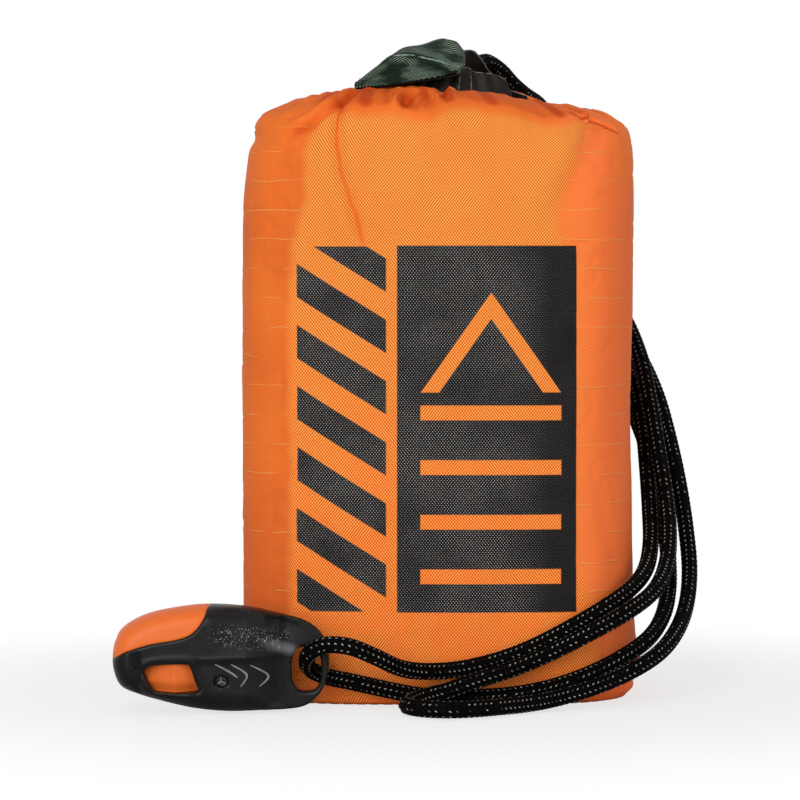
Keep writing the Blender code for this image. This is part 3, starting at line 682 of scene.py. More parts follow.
def satin_finish(sizes):
    """Black satin: smooth, with a soft shine along its threads."""
    finish = Finish("lining_satin", 0.3, Specular_IOR_Level=0.10)
    place, across, up = finish.surface()
    threads = finish.noise(finish.stretched(place, (9.0, 0.7, 1.0)), 1.0, 2.0)
    crush = finish.noise(finish.object_place(), 420.0, 3.0)
    colour = finish.mix(threads, sizes.satin, shade(sizes.satin, 2.4))
    # painted highlights: its rim and two of its folds are painted pale where they catch the light
    painted_highlight = finish.step(abs(up - 9.9), 0.04, 0.16, 1.0, 0.0)
    for at, lean in ((1.3, 0.05), (4.2, 0.12)):
        line = up * lean - (across - at)
        line = finish.step(abs(line), 0.03, 0.22, 0.8, 0.0)
        painted_highlight = finish.most(painted_highlight, line * finish.step(up, 10.4, 10.2))
    patchy = finish.step(finish.noise(place, 0.7, 2.0), 0.36, 0.62)
    colour = finish.mix(painted_highlight * patchy, colour, (0.22, 0.20, 0.18))
    normal = finish.bump(threads + crush * 2.0, 0.00005)
    return finish.finish(colour, normal, finish.step(threads, 0.3, 0.7, 0.26, 0.42))


def twill_finish(sizes):
    """Dark green twill with slanting lines, threads painted paler as highlights, and a painted
    highlight along its crease.
    """
    finish = Finish("flap_twill", 0.5, Specular_IOR_Level=0.07)
    place, across, up = finish.surface()
    sway = finish.noise(place, 0.12, 2.0) * 3.0
    rising = finish.math("SINE", across * 7.4 + up * 5.8 + sway)
    falling = finish.math("SINE", across * 7.8 - up * 4.8 + sway)
    turn = finish.step(finish.noise(place, 0.10, 1.0), 0.47, 0.53)
    line = rising * turn + falling * (1.0 - turn)
    patch = finish.noise(place, 0.16, 2.0)
    # painted highlight: the lines are painted pale in patches, fainter at the left below the crease
    lit = finish.step(line, 0.05, 0.85) * finish.step(patch, 0.40, 0.60, 0.05, 1.0)
    near = finish.step(across, 9.0, 16.0, 0.12, 1.0)
    lit = lit * finish.most(near, finish.step(up, 79.6, 81.0, 0.0, 0.9))
    ground = finish.mix(
        finish.step(patch, 0.35, 0.7), shade(sizes.twill, 0.4), shade(sizes.twill, 0.8)
    )
    colour = finish.mix(lit, ground, shade(sizes.twill, 27.0, 12.5, 16.0))
    # painted highlight along the crease, broken in places
    highlight_noise = (finish.noise(place, 0.35, 2.0) - 0.5) * 2.2
    crease = finish.step(abs(up - 80.2 + highlight_noise), 0.08, 0.42, 1.0, 0.0)
    broken = finish.step(finish.noise(place, 0.8, 2.0), 0.36, 0.56)
    colour = finish.mix(crease * broken, colour, (0.27, 0.36, 0.30))
    return finish.finish(colour, finish.bump(line, 0.00006))


def film_finish(sizes):
    """Thin orange film: crinkled, with fold lines and a soft shine."""
    finish = Finish("rolled_film", 0.3, Specular_IOR_Level=0.5, Coat_Weight=0.15, Coat_Roughness=0.25)
    body = finish.object_place()
    folds = finish.cells(finish.stretched(body, (1.0, 1.0, 0.35)), 130.0, "DISTANCE_TO_EDGE")
    crease = finish.step(folds, 0.0, 0.035, 1.0, 0.0)
    crease = crease * finish.step(finish.noise(body, 85.0, 1.0), 0.40, 0.60)
    crush = finish.noise(body, 300.0, 5.0, 0.6)
    colour = finish.mix(finish.noise(body, 60.0, 3.0), shade(sizes.film, 0.8), sizes.film)
    colour = finish.mix(crease * 0.35, colour, shade(sizes.film, 1.1, 1.7, 3.4))
    normal = finish.bump(crease * 0.5 + crush, 0.00025)
    return finish.finish(colour, normal, finish.step(crush, 0.3, 0.7, 0.22, 0.4))


def woven_finish(name, roughness, sheen, waves, steps, dark, light):
    """Woven tape or elastic: so many waves across and up, between a dark and a light colour."""
    finish = Finish(name, roughness, Sheen_Weight=sheen)
    _, across, up = finish.surface()
    picks = finish.math("SINE", across * waves[0]) * finish.math("SINE", up * waves[1])
    return finish.finish(
        finish.mix(finish.step(picks, *steps), dark, light), finish.bump(picks, 0.00006)
    )


def elastic_finish():
    """Off-white elastic with woven ribs."""
    return woven_finish(
        "woven_elastic", 0.8, 0.25, (7.4, 9.0), (-0.6, 0.8), (0.36, 0.34, 0.29), (0.62, 0.60, 0.54)
    )


def tape_finish(name, colour):
    """Woven binding tape, matt."""
    return woven_finish(name, 0.75, 0.2, (10.5, 10.5), (-0.5, 0.7), shade(colour, 0.62), colour)


def thread_finish(name, colour):
    """Twisted sewing thread."""
    finish = Finish(name, 0.6, Sheen_Weight=0.2)
    twist = finish.noise(finish.object_place(), 4200.0, 1.0)
    return finish.finish(finish.mix(twist, shade(colour, 0.6), colour), finish.bump(twist, 0.00004))


def rubber_finish(sizes):
    """Black moulded rubber, stippled above the shells' soft ridge and smoother below it."""
    finish = Finish("moulded_rubber", 0.34, Specular_IOR_Level=0.13)
    body = finish.object_place()
    across, _, up = finish.parts(body)
    stippled = finish.step(up, 0.0124, 0.0142) * finish.step(across, -0.0570, -0.0440)
    grain = finish.step(finish.cells(body, 3800.0), 0.0, 0.6, 1.0, 0.0) * stippled
    height = grain * 0.8 + finish.noise(body, 1500.0, 3.0) * 0.16
    dust = finish.noise(body, 130.0, 4.0, 0.6)
    tint = finish.mix(finish.step(dust, 0.42, 0.75), sizes.rubber, shade(sizes.rubber, 1.8))
    # painted highlight: the grain's tips are painted bright in a band along the upper half
    band = finish.step(abs(across * 0.10 + up - 0.0131), 0.0006, 0.0034, 1.0, 0.0)
    band = band * finish.step(across, -0.0545, -0.0485) * finish.step(across, -0.0335, -0.0365)
    tips = finish.step(finish.cells(body, 2900.0), 0.14, 0.30, 1.0, 0.0)
    glint_share = tips * finish.step(finish.noise(body, 900.0, 1.0), 0.42, 0.58) * band
    tint = finish.mix(glint_share, tint, (0.85, 0.84, 0.82))
    # painted highlight: a soft pale stretch beside the eye
    painted_highlight = finish.step(abs(across * 0.30 + up - 0.0042), 0.0, 0.0020, 0.32, 0.0)
    painted_highlight = painted_highlight * finish.step(across, -0.0430, -0.0365) * finish.step(across, -0.0310, -0.0345)
    tint = finish.mix(painted_highlight, tint, (0.34, 0.34, 0.35))
    return finish.finish(tint, finish.bump(height, 0.00006), finish.step(dust, 0.3, 0.7, 0.24, 0.34))


def highlight_rubber_finish(sizes):
    """The same rubber where it is raised: smoother and shinier, and painted paler as a highlight."""
    finish = Finish("rubber_painted_highlight", 0.18, Specular_IOR_Level=0.6)
    body = finish.object_place()
    highlight_noise = finish.noise(body, 700.0, 3.0)
    tint = finish.mix(highlight_noise, shade(sizes.rubber, 10.0), shade(sizes.rubber, 52.0))
    # painted shade: the floor of the sound hole is painted darker
    deep = finish.step(abs(finish.parts(body)[1] - EYE_PLACE.y), 0.0038, 0.0041)
    tint = finish.mix(deep, shade(sizes.rubber, 0.4), tint)
    return finish.finish(tint, finish.bump(highlight_noise, 0.00003))


def plastic_finish(sizes):
    """Orange moulded plastic with a fine grain and small scuffs."""
    finish = Finish("moulded_plastic", 0.42, Specular_IOR_Level=0.22)
    body = finish.object_place()
    cloud = finish.noise(body, 90.0, 3.0)
    scuff = finish.step(finish.noise(finish.stretched(body, (1.0, 1.0, 5.0)), 620.0, 2.0), 0.66, 0.74)
    colour = finish.mix(cloud, shade(sizes.plastic, 0.84), sizes.plastic)
    colour = finish.mix(scuff * 0.35, colour, shade(sizes.plastic, 1.05, 1.5, 2.2))
    normal = finish.bump(finish.noise(body, 2600.0, 2.0), 0.00003)
    return finish.finish(colour, normal, finish.step(cloud, 0.3, 0.7, 0.36, 0.48))


# The sack's section


def girth_table():
    """The section's points anticlockwise from the front's middle, and their distance from it."""
    angle = np.linspace(-math.pi / 2, 1.5 * math.pi, 2881)
    c, s = np.cos(angle), np.sin(angle)
    x = SACK_WIDTH / 2 * np.sign(c) * np.abs(c) ** (2 / SQUARENESS)
    y = SACK_DEPTH / 2 * np.sign(s) * np.abs(s) ** (2 / SQUARENESS)
    return x, y, np.concatenate(([0.0], np.cumsum(np.hypot(np.diff(x), np.diff(y)))))


GIRTH_X, GIRTH_Y, GIRTH_LENGTH = girth_table()
GIRTH = GIRTH_LENGTH[-1]


def on_girth(distance):
    """The section's points at these distances from the front's middle, and the ways out there."""
    wanted = np.mod(distance, GIRTH)
    x, y = (np.interp(wanted, GIRTH_LENGTH, line) for line in (GIRTH_X, GIRTH_Y))
    out = [
        np.sign(place) * np.abs(place / half) ** (SQUARENESS - 1) / half
        for place, half in ((x, SACK_WIDTH / 2), (y, SACK_DEPTH / 2))
    ]
    out = np.stack((*out, np.zeros_like(x)), axis=-1)
    return x, y, out / np.linalg.norm(out, axis=-1, keepdims=True)


def left_draw(height):
    """How far the left side is drawn in: it leans inwards towards the top."""
    rise = (height - (WALL_HEIGHT - 0.022)) / 0.022
    return 0.0018 * np.clip(rise, 0.0, 1.0) ** 1.6


def around(dense, sparse):
    """Distances round the section, from the back's middle: close together on the front."""
    edge = 0.054
    front = np.linspace(-edge, edge, dense)
    side = np.linspace(edge, GIRTH - edge, sparse)[1:-1]
    return np.sort(np.concatenate((front, np.where(side > GIRTH / 2, side - GIRTH, side))))


def section(distance, inset, height):
    """Points of the section drawn in by the inset, at this height."""
    x, y, out = on_girth(distance)
    x = x * (SACK_WIDTH / 2 - inset) / (SACK_WIDTH / 2)
    x = np.where(x < 0, x * (1 - left_draw(height) / (SACK_WIDTH / 2)), x)
    y = y * (SACK_DEPTH / 2 - inset) / (SACK_DEPTH / 2)
    return np.stack((x, y, np.broadcast_to(height, x.shape)), axis=-1), out


# The cloth over the shoulder in millimetres: how far drawn in, and height above the wall's top
SHOULDER = (
    (0.0, -18.0), (0.15, -12.0), (0.3, -6.0), (0.7, -2.0), (1.3, 0.8), (2.3, 3.2), (3.9, 5.3),
    (6.3, 7.1), (9.5, 8.4),
)


def shoulder_line():
    line = spread(SHOULDER, 241) * MM
    length = travelled(line)
    return line[:, 0], line[:, 1] + WALL_HEIGHT, length


OVER_IN, OVER_UP, OVER_LENGTH = shoulder_line()
CLOTH_TOP = OVER_UP[0] + OVER_LENGTH[-1]


def cloth_rows(distance, levels, wrinkle, lift):
    """Rows round the sack at these heights measured along the cloth, stood off by the lift."""
    rows = []
    slope_in = np.gradient(OVER_IN, OVER_LENGTH)
    slope_up = np.gradient(OVER_UP, OVER_LENGTH)
    for level, off in zip(levels, lift):
        past = max(0.0, level - OVER_UP[0])
        inset = float(np.interp(past, OVER_LENGTH, OVER_IN))
        inset += 3.0 * MM * max(0.0, 1 - level / (10 * MM)) ** 2.6
        height = level if past == 0 else float(np.interp(past, OVER_LENGTH, OVER_UP))
        ring, out = section(distance, inset, height)
        way = out * float(np.interp(past, OVER_LENGTH, slope_up))
        way[:, 2] = float(np.interp(past, OVER_LENGTH, slope_in))
        relief = wall_relief(distance / MM, np.full(distance.shape, level / MM), ring, wrinkle)
        relief = relief * float(smooth_step(np.array(level), 0.0, 0.0020)) + off
        row = ring + way * relief[:, None]
        settle = float(smooth_step(np.array(level), WALL_HEIGHT - 8 * MM, WALL_HEIGHT + 8 * MM))
        row[:, 2] -= (top_drop(row[:, 0]) + 1.3 * MM * smooth_step(row[:, 1], -0.022, 0.004)) * settle
        rows.append(row)
    return rows


# Creases and bulges of the wall, in millimetres across and up the cloth from its front foot
LEFT_CREASE = (
    (-26.2, 143.0), (-26.0, 135.5), (-23.9, 124.5), (-21.1, 116.7), (-18.5, 108.7), (-17.8, 104.0),
)
LEFT_TUCK = ((-25.0, 146.0), (-28.6, 140.5), (-33.0, 136.2), (-41.0, 133.2))
RIGHT_SLOPE = ((35.5, 136.0), (32.5, 130.0), (29.0, 123.0), (25.0, 116.0), (18.4, 109.0))
RIGHT_TUCK = ((33.6, 140.6), (35.0, 138.9), (38.5, 138.8), (44.0, 135.6), (49.0, 132.4))
# The hem's end, curled up at the front: its rolled edge, and the wrinkles beside it
CURL = (
    (-12.0, 138.2), (-12.3, 141.2), (-11.2, 143.8), (-8.4, 145.6), (-4.2, 145.8), (-1.7, 144.0),
    (-0.8, 141.4), (-0.6, 138.8),
)
CURL_WRINKLES = (
    ((-7.4, 140.6), (-4.6, 145.0)), ((-5.6, 138.6), (-2.6, 143.2)), ((-3.4, 138.8), (-1.4, 141.2)),
)
# The upper folds: a line, how it fades at its end and its start, and its ridges, each a height, a
# place beside the line and a width. The lower folds: a line, a width and a depth
UPPER_FOLDS = (
    (LEFT_TUCK, 0.75, 0.1, (0.95, -1.2, 1.7), (-1.25, 1.4, 1.4)),
    (RIGHT_SLOPE, 0.5, 0.0, (0.55, -3.0, 4.0), (-1.00, 3.0, 3.6)),
    (RIGHT_TUCK, 0.6, 0.0, (-0.70, 0.0, 0.55), (0.24, 1.5, 1.6)),
    (CURL, 0.8, 0.12, (1.15, 0.0, 0.95), (-0.45, 1.9, 0.8)),
)
LOWER_FOLDS = (
    (((-20.0, 34.0), (-8.0, 20.0), (4.0, 4.0)), 4.6, 0.40),
    (((22.0, 30.0), (12.0, 14.0), (8.0, 2.0)), 5.4, 0.34),
    (((-34.0, 62.0), (-30.0, 44.0), (-27.0, 26.0)), 4.0, 0.30),
    (((33.0, 60.0), (39.0, 42.0), (44.0, 30.0)), 3.0, 0.35),
)
# Edges of the part of the cloth that faces forward: height, then across at the left and the right
FRONT_HEIGHTS = (0, 22, 32, 101, 106, 110, 117, 126, 134, 140, 148)
FRONT_LEFT = (-36, -36, -35.6, -35.3, -34.8, -33.5, -32.0, -32.6, -31.4, -28.0, -24.0)
FRONT_RIGHT = (37, 37, 31.6, 31.2, 29.5, 27.0, 27.4, 31.4, 34.6, 36.0, 37.0)


def turned_share(across, up):
    """How far the cloth turns away from the front: 0 on the front, 1 at the sides and the top. The
    material paints this as shade, and past 1 as deeper painted shade.
    """
    waver = 0.3 * np.sin(up * 0.33) + 0.25 * np.sin(up * 0.81 + 1.0)
    left = np.interp(up, FRONT_HEIGHTS, FRONT_LEFT) + waver
    right = np.interp(up, FRONT_HEIGHTS, FRONT_RIGHT) + 0.6 * waver
    share = smooth_step(across, left + 3.0, left - 3.2)
    share = np.maximum(share, smooth_step(across, right - 5.0, right + 4.4))
    top = 138.6 + 0.9 * np.sin(across * 0.13 + 1.0) + 0.4 * np.sin(across * 0.41)
    top = top - 2.2 * bell(across + 5.0, 7.0)
    share = np.maximum(share, smooth_step(up, top - 4.4, top + 1.8))
    # painted shade: the share grows past 1 over the top band, in the curl's opening, along both tucks
    # and in streaks along the top
    share = share + 0.40 * smooth_step(up, top, top + 3.0) * smooth_step(np.abs(across), 42.0, 30.0)
    share = share + 1.3 * (bell(across + 9.4, 1.3) * bell(up - 141.2, 2.0))
    side, along = off_line(across, up, RIGHT_TUCK)
    share = share + 0.9 * bell(side, 0.45) * smooth_step(along, 1.0, 0.7)
    side, along = off_line(across, up, LEFT_TUCK)
    share = share + 0.55 * bell(side - 1.3, 1.1) * smooth_step(along, 1.0, 0.75)
    streak = np.sin(across * 0.55 + 1.8 * np.sin(across * 0.17))
    streak = streak + 0.7 * np.sin(across * 1.13 + up * 0.35)
    return share + 0.36 * np.maximum(streak, 0.0) * smooth_step(up, top - 1.0, top + 3.0)


def wall_relief(across, up, places, wrinkle):
    """How far the cloth stands out from the plain section, in metres."""
    stand = np.zeros(across.shape)
    side, along = off_line(across, up, LEFT_CREASE)
    fade = smooth_step(along, 1.0, 0.80) * smooth_step(along, 0.0, 0.06)
    stand -= 1.10 * bell(side, 1.0 + 0.4 * np.sin(math.pi * along)) * fade
    stand += 0.75 * bell(side + 3.2, 2.4) * fade
    stand += 0.30 * bell(side - 3.4, 3.0) * fade
    for line, end, start, *ridges in UPPER_FOLDS:
        side, along = off_line(across, up, line)
        fade = smooth_step(along, 1.0, end) * (smooth_step(along, 0.0, start) if start else 1.0)
        for high, place, width in ridges:
            stand += high * bell(side - place, width) * fade
    for line in CURL_WRINKLES:
        side, along = off_line(across, up, line)
        stand += 0.55 * bell(side, 0.5) * np.sin(math.pi * np.clip(along, 0.05, 0.95)) ** 0.5
    stand -= 1.60 * (bell(across + 9.5, 1.3) * bell(up - 141.2, 2.1))
    stand -= 0.8 * bell(across - 0.3, 0.8) * smooth_step(up, 140.0, 144.5)
    stand += 0.5 * bell(across - 2.6, 1.3) * smooth_step(up, 140.0, 144.5)
    for line, width, depth in LOWER_FOLDS:
        side, along = off_line(across, up, line)
        stand -= depth * bell(side, width) * np.sin(math.pi * np.clip(along, 0.03, 1.0)) ** 0.5
    # the front's edges are soft folds, and the cloth beside them lies flatter
    left = np.interp(up, FRONT_HEIGHTS, FRONT_LEFT) + 0.8 * np.sin(up / 17.0)
    tall = smooth_step(up, 136.0, 122.0)
    stand += 0.60 * bell(across - left - 0.6, 2.2) * tall
    stand -= 0.50 * bell(across - left + 6.5, 4.5) * tall
    stand += 0.35 * bell(across - 35.0, 5.0) * tall
    # the right side's waist, and the left shoulder's pouch with the notch under it
    right, left = smooth_step(across, 34.0, 48.0), smooth_step(across, -36.0, -46.0)
    beside_it = smooth_step(np.abs(across), 118.0, 92.0)
    waist = 1.1 * smooth_step(up, 7.0, 24.0) + 0.7 * bell(up - 68.0, 26.0)
    stand -= right * beside_it * waist
    stand -= 0.70 * left * beside_it * bell(up - 132.3, 1.9)
    stand += 0.55 * left * beside_it * bell(up - 138.0, 3.4)
    # the boxed corner at the right foot: a fold under a small bulge
    corner = smooth_step(across, 20.0, 44.0) * smooth_step(across, 96.0, 78.0)
    stand += 1.35 * corner * bell(up - 7.2, 2.2)
    stand -= 0.90 * corner * bell(up - 4.0, 0.9)
    stand += 0.55 * corner * bell(up - 2.1, 1.2)
    # fine puckers under the drawn top, and the cloth's own unevenness
    pull = smooth_step(up, 118.0, 142.0)
    pucker = np.sin(across * 0.74 + 2.2 * np.sin(across * 0.13)) + 0.5 * np.sin(across * 1.37 + 1.0)
    stand += 0.16 * pull**2 * pucker
    calm = 0.22 + 0.78 * smooth_step(np.abs(np.abs(across) - 52.0), 4.0, 16.0)
    stand += wrinkle / MM * calm * (1.1 * ripple(places, 55.0) + 0.55 * ripple(places, 130.0, 1.0))
    creased = 1 - np.abs(ripple(places * (1.0, 1.0, 1.8), 75.0, 2.0))
    sharp = smooth_step(creased, 0.90, 1.0) * smooth_step(np.abs(across), 24.0, 40.0)
    stand -= wrinkle / MM * calm * 1.2 * sharp
    return stand * MM


def mouth_ring(distance, outset, height):
    """Points round the mouth, further out than the hem's middle line by the outset."""
    angle = -math.pi / 2 + 2 * math.pi * distance / GIRTH
    x = MOUTH_CENTRE[0] + (MOUTH_HALF_WIDTH + outset) * np.cos(angle)
    y = MOUTH_CENTRE[1] + (MOUTH_HALF_DEPTH + outset) * np.sin(angle)
    return np.stack((x, y, np.broadcast_to(height, x.shape)), axis=-1)


def top_drop(x):
    """How much lower than the ridge the sack's top is, across: it falls to both shoulders."""
    places = (-47, -42, -39, -36, -33, -29, -25, -20, -12, -3, 2.5, 10, 14, 19, 24, 36, 41, 46)
    drops = (
        1.3, 1.6, 1.9, 2.0, 1.6, 0.7, 0.1, -0.4, -0.3, 0.3, -0.2, 0.2, 0.9, 2.0, 3.0, 2.8, 2.6, 1.8,
    )
    return np.interp(x / MM, places, drops) * MM


def hem_sink(x, y):
    """How far the hem and the cord in it sink at the mouth's right end."""
    places = (-4.5, -1.5, 1.5, 9.0, 13.5, 17.0, 21.0, 28.0)
    sinks = (0.0, 0.6, 1.5, 1.6, 2.7, 3.3, 3.6, 3.6)
    return np.interp(x / MM, places, sinks) * MM * smooth_step(np.asarray(y), 0.0045, -0.004)


def mark_turned(mesh, values):
    """Store on the points how far the cloth turns away from the front, which the material paints as
    shade.
    """
    layer = mesh.attributes.new("turned", "FLOAT", "POINT")
    layer.data.foreach_set("value", np.broadcast_to(values, len(mesh.vertices)).astype(np.float32))


def marks_of(distance, heights):
    """UV in millimetres: round the cloth from its front's middle, and up."""
    wide = np.append(distance, distance[0] + GIRTH)
    return np.stack(np.meshgrid(wide / MM, heights / MM), axis=-1)


def cloth_skin(name, rows, distance, heights):
    """A ring of the sack's cloth, with its UV and how far it turns away."""
    marks = marks_of(distance, heights)
    mesh = skin(name, rows, True, marks)
    mark_turned(mesh, turned_share(marks[:, :-1, 0], marks[:, :-1, 1]).ravel())
    return mesh


def build_wall(sizes, finish):
    distance = around(150, 126)
    parts = ((0.35, 11.0, 18), (11.0, 96.0, 75), (96.0, WALL_HEIGHT / MM + 1.0, 57))
    levels = [np.linspace(low, high, count + 1)[:-1] for low, high, count in parts]
    levels = np.append(np.concatenate(levels), parts[-1][1]) * MM
    rows = cloth_rows(distance, levels, sizes.wrinkle, np.zeros(len(levels)))
    mesh = cloth_skin("sack_wall_cloth", rows, distance, levels)
    thickened(placed(mesh, finish, "sack", ["sack_wall"]), sizes.cloth)


def build_floor(sizes, finish):
    """The bottom panel, its edge turned up to the wall's seam."""
    distance = around(90, 86)
    levels = (
        (35.0, 0.1), (30.0, 0.1), (24.0, 0.1), (16.0, 0.05), (9.0, 0.0), (5.2, 0.03), (3.9, 0.12),
        (3.3, 0.45), (3.1, 1.0),
    )
    rows = []
    for inset, height in levels:
        ring, _ = section(distance, inset * MM, height * MM)
        ring[:, 2] += np.maximum(0.05 * MM * ripple(ring, 160.0), 0.0)
        rows.append(ring)
    marks = np.stack([ring[:, :2] / MM for ring in rows])
    marks = np.concatenate((marks, marks[:, :1]), axis=1) + (0.0, 400.0)
    build = bmesh.new()
    build.from_mesh(skin("floor", rows, True, marks))
    rim = [edge for edge in build.edges if edge.is_boundary and edge.verts[0].co.xy.length < 0.02]
    bmesh.ops.holes_fill(build, edges=rim, sides=0)
    bmesh.ops.recalc_face_normals(build, faces=build.faces)
    if sum(face.normal.z * face.calc_area() for face in build.faces) > 0:
        bmesh.ops.reverse_faces(build, faces=build.faces)
    mesh = as_mesh(build, "sack_floor_cloth")
    thickened(placed(mesh, finish, "sack", ["sack_base"]), 1.6 * sizes.cloth)


def build_seams(finish):
    """The binding over the base's seam, and the tape that closes the cloth tube at the back."""
    distance = around(60, 60)
    insets = np.linspace(4.7, 8.4, 7) * MM
    rows = []
    for inset in insets:
        ring, _ = section(distance, inset, 1.5 * MM)
        ring[:, 2] += 0.10 * MM * ripple(ring, 120.0, 4.0)
        rows.append(ring)
    mesh = skin("base_binding_tape", rows, True, marks_of(distance, insets))
    thickened(placed(mesh, finish, "sack", ["base_seam_binding"]), 0.5 * MM, 0.0)

    low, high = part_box("back_seam")
    heights = np.linspace(low.z, high.z, 90)
    middle = np.full(90, (low.y + high.y) / 2)
    path = np.stack((0.12 * MM * np.sin(heights * 210), middle, heights), axis=-1)
    offsets = np.linspace(-0.5, 0.5, 7) * (high.x - low.x)
    marks = np.stack(np.meshgrid(travelled(path) / MM, offsets / MM), axis=-1)
    rows = [path + (offset, 0.0, 0.0) for offset in offsets]
    mesh = skin("back_seam_tape", rows, False, marks)
    thickened(placed(mesh, finish, "sack", ["back_seam"]), high.y - low.y, 0.0)


def build_gather(sizes, mouth, finish):
    """The cloth above the wall: over the shoulder, then drawn in to the hem in pleats."""
    distance = np.unique(np.concatenate((around(170, 130), np.linspace(-13.05, 3.6, 61) * MM)))
    levels = np.linspace(WALL_HEIGHT - 0.6 * MM, CLOTH_TOP, 50)
    lift = np.interp(levels - levels[0], (0.0, 1.2 * MM, 4 * MM), (-0.10 * MM, 0.06 * MM, 0.10 * MM))
    over = np.array(cloth_rows(distance, levels, sizes.wrinkle, lift))
    edge = mouth_ring(distance, HEM_RADIUS - 0.1 * MM, HEM_HEIGHT - 0.5 * MM)
    edge[:, 2] -= hem_sink(edge[:, 0], edge[:, 1])
    share = np.linspace(0, 1, 26)[1:, None]
    inner = over[-1] * (1 - share[..., None]) + edge * share[..., None]
    inner[:, :, 2] += 0.5 * MM * np.sin(math.pi * share)
    turn = distance[None, :] / GIRTH * 2 * math.pi
    phase = mouth.pleats * turn + 1.4 * np.sin(2 * turn + 0.7) + 0.9 * np.sin(5 * turn)
    pleat = 1 - 2 * np.abs(np.sin(phase / 2))
    calm = 0.35 + 0.65 * smooth_step(edge[:, 1], -0.020, -0.008)
    inner[:, :, 2] += pleat * calm * smooth_step(share, 0.0, 0.7) * mouth.pleat_depth
    inner[:, :, 2] += (ripple(inner, 150.0, 5.0) * 0.35 + ripple(inner, 330.0, 6.0) * 0.12) * MM * share
    inner_levels = CLOTH_TOP + share[:, 0] * 10 * MM
    wide, high = np.meshgrid(distance / MM, inner_levels / MM)
    inner[:, :, 2] += wall_relief(wide, high, inner, sizes.wrinkle) * (1 - 0.7 * share)
    # the pleats run out over the shoulder
    reach = smooth_step(np.linspace(0, 1, len(levels)), 0.45, 1.0)[:, None]
    over[:, :, 2] += pleat * calm * reach * 0.3 * mouth.pleat_depth
    rows, heights = np.concatenate((over, inner)), np.concatenate((levels, inner_levels))
    mesh = cloth_skin("mouth_cloth", rows, distance, heights)
    gather = placed(mesh, finish, "sack", ["mouth_gather"])
    thickened(gather, 1.2 * sizes.cloth)
    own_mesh(gather)


def hem_point(degrees):
    angle = math.radians(degrees)
    x = MOUTH_CENTRE[0] + MOUTH_HALF_WIDTH * math.cos(angle)
    return Vector((x, MOUTH_CENTRE[1] + MOUTH_HALF_DEPTH * math.sin(angle), HEM_HEIGHT))


def build_hem(sizes, finish):
    """The folded channel round the cord, puckered all the way along."""
    rows, marks = [], []
    for turn in np.linspace(104, 416, 260):
        middle = hem_point(turn)
        angle = math.radians(turn)
        away = Vector((MOUTH_HALF_DEPTH * math.cos(angle), MOUTH_HALF_WIDTH * math.sin(angle), 0))
        away.normalize()
        drop = float(hem_sink(middle.x, middle.y))
        pucker = math.sin(turn * 0.42 + 1.3 * math.sin(turn * 0.07)) * 0.5 + math.sin(turn * 0.97) * 0.3
        dip = 0.3 * MM * bell(middle.x / MM - 0.3, 1.1) * (middle.y < MOUTH_CENTRE[1])
        ring = []
        for round_it in np.arange(24) * math.pi / 12:
            reach = HEM_RADIUS * (0.95 + 0.12 * pucker * math.cos(round_it - 0.6))
            high = 0.88 * reach * math.sin(round_it) - drop - dip * max(0.0, math.sin(round_it))
            ring.append(middle + away * reach * math.cos(round_it) + Vector((0, 0, high)))
        rows.append(ring)
        marks.append([(step * 0.8, turn * 0.35 + 200.0) for step in range(25)])
    mesh = skin("mouth_hem_cloth", rows, True, marks)
    mesh.flip_normals()
    # the hem takes the darker colour of cloth turned from the front: painted shade
    mark_turned(mesh, 0.9)
    hem = thickened(placed(mesh, finish, "sack", ["mouth_hem"]), sizes.cloth)
    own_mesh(hem)


def build_lining(mouth, finish):
    """The satin collar inside the hem, in upright folds, lower at its right end."""
    distance = np.linspace(-GIRTH / 2, GIRTH / 2, 340, endpoint=False)
    angle = 2 * math.pi * distance / GIRTH - math.pi / 2
    foot = mouth_ring(distance, -(HEM_RADIUS + 0.5 * MM), HEM_HEIGHT - 2.2 * MM)
    foot[:, 2] -= hem_sink(foot[:, 0], foot[:, 1])
    x = foot[:, 0] / MM
    # the collar's height above the hem, in front and behind
    places = (-21, -14, -6, 3, 5.5, 8.5, 13.8, 16.5, 18.4, 23)
    front = np.interp(x, places, (2.6, 3.6, 4.6, 7.0, 8.2, 8.7, 8.7, 7.0, 3.2, 2.2))
    places = (-21, -12, -4, 3, 6, 10, 13, 16, 18.5, 23)
    rear = np.interp(x, places, (2.6, 3.0, 4.0, 9.3, 11.8, 11.8, 10.0, 7.0, 4.4, 3.0))
    top = np.where(foot[:, 1] < MOUTH_CENTRE[1], front, rear)
    phase = mouth.lining_folds * angle + 1.6 * np.sin(2 * angle + 0.4) + 0.8 * np.sin(3 * angle)
    folds = np.sin(phase) + 0.45 * np.sin(2.3 * phase + 1.0) + 0.25 * np.sin(4.1 * phase)
    away = foot[:, :2] - MOUTH_CENTRE
    away /= np.linalg.norm(away, axis=1, keepdims=True)
    levels = np.linspace(0, 1, 34)
    rows = []
    for level in levels:
        ring = foot.copy()
        swing = (0.2 + 0.8 * level) * folds * 0.9 - 1.3 * level**1.5
        ring[:, :2] += away * (swing * MM)[:, None]
        ring[:, 0] += 1.2 * MM * level**2 * np.sin(angle * 3 + 1.0)
        ring[:, 2] += level * (top + 2.2 + 0.45 * np.sin(phase * 1.5) + 0.25 * folds) * MM
        ring[:, :2] += away * (ripple(ring, 260.0, 15.0) * 0.25 * MM * level)[:, None]
        rows.append(ring)
    marks = marks_of(distance, levels * 10 * MM) * (0.4, 1.0)
    mesh = skin("throat_lining_cloth", rows, True, marks)
    lining = thickened(placed(mesh, finish, "sack", ["throat_lining"]), 0.30 * MM)
    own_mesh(lining)


FLAP_COLUMNS, FLAP_ROWS = 72, 150
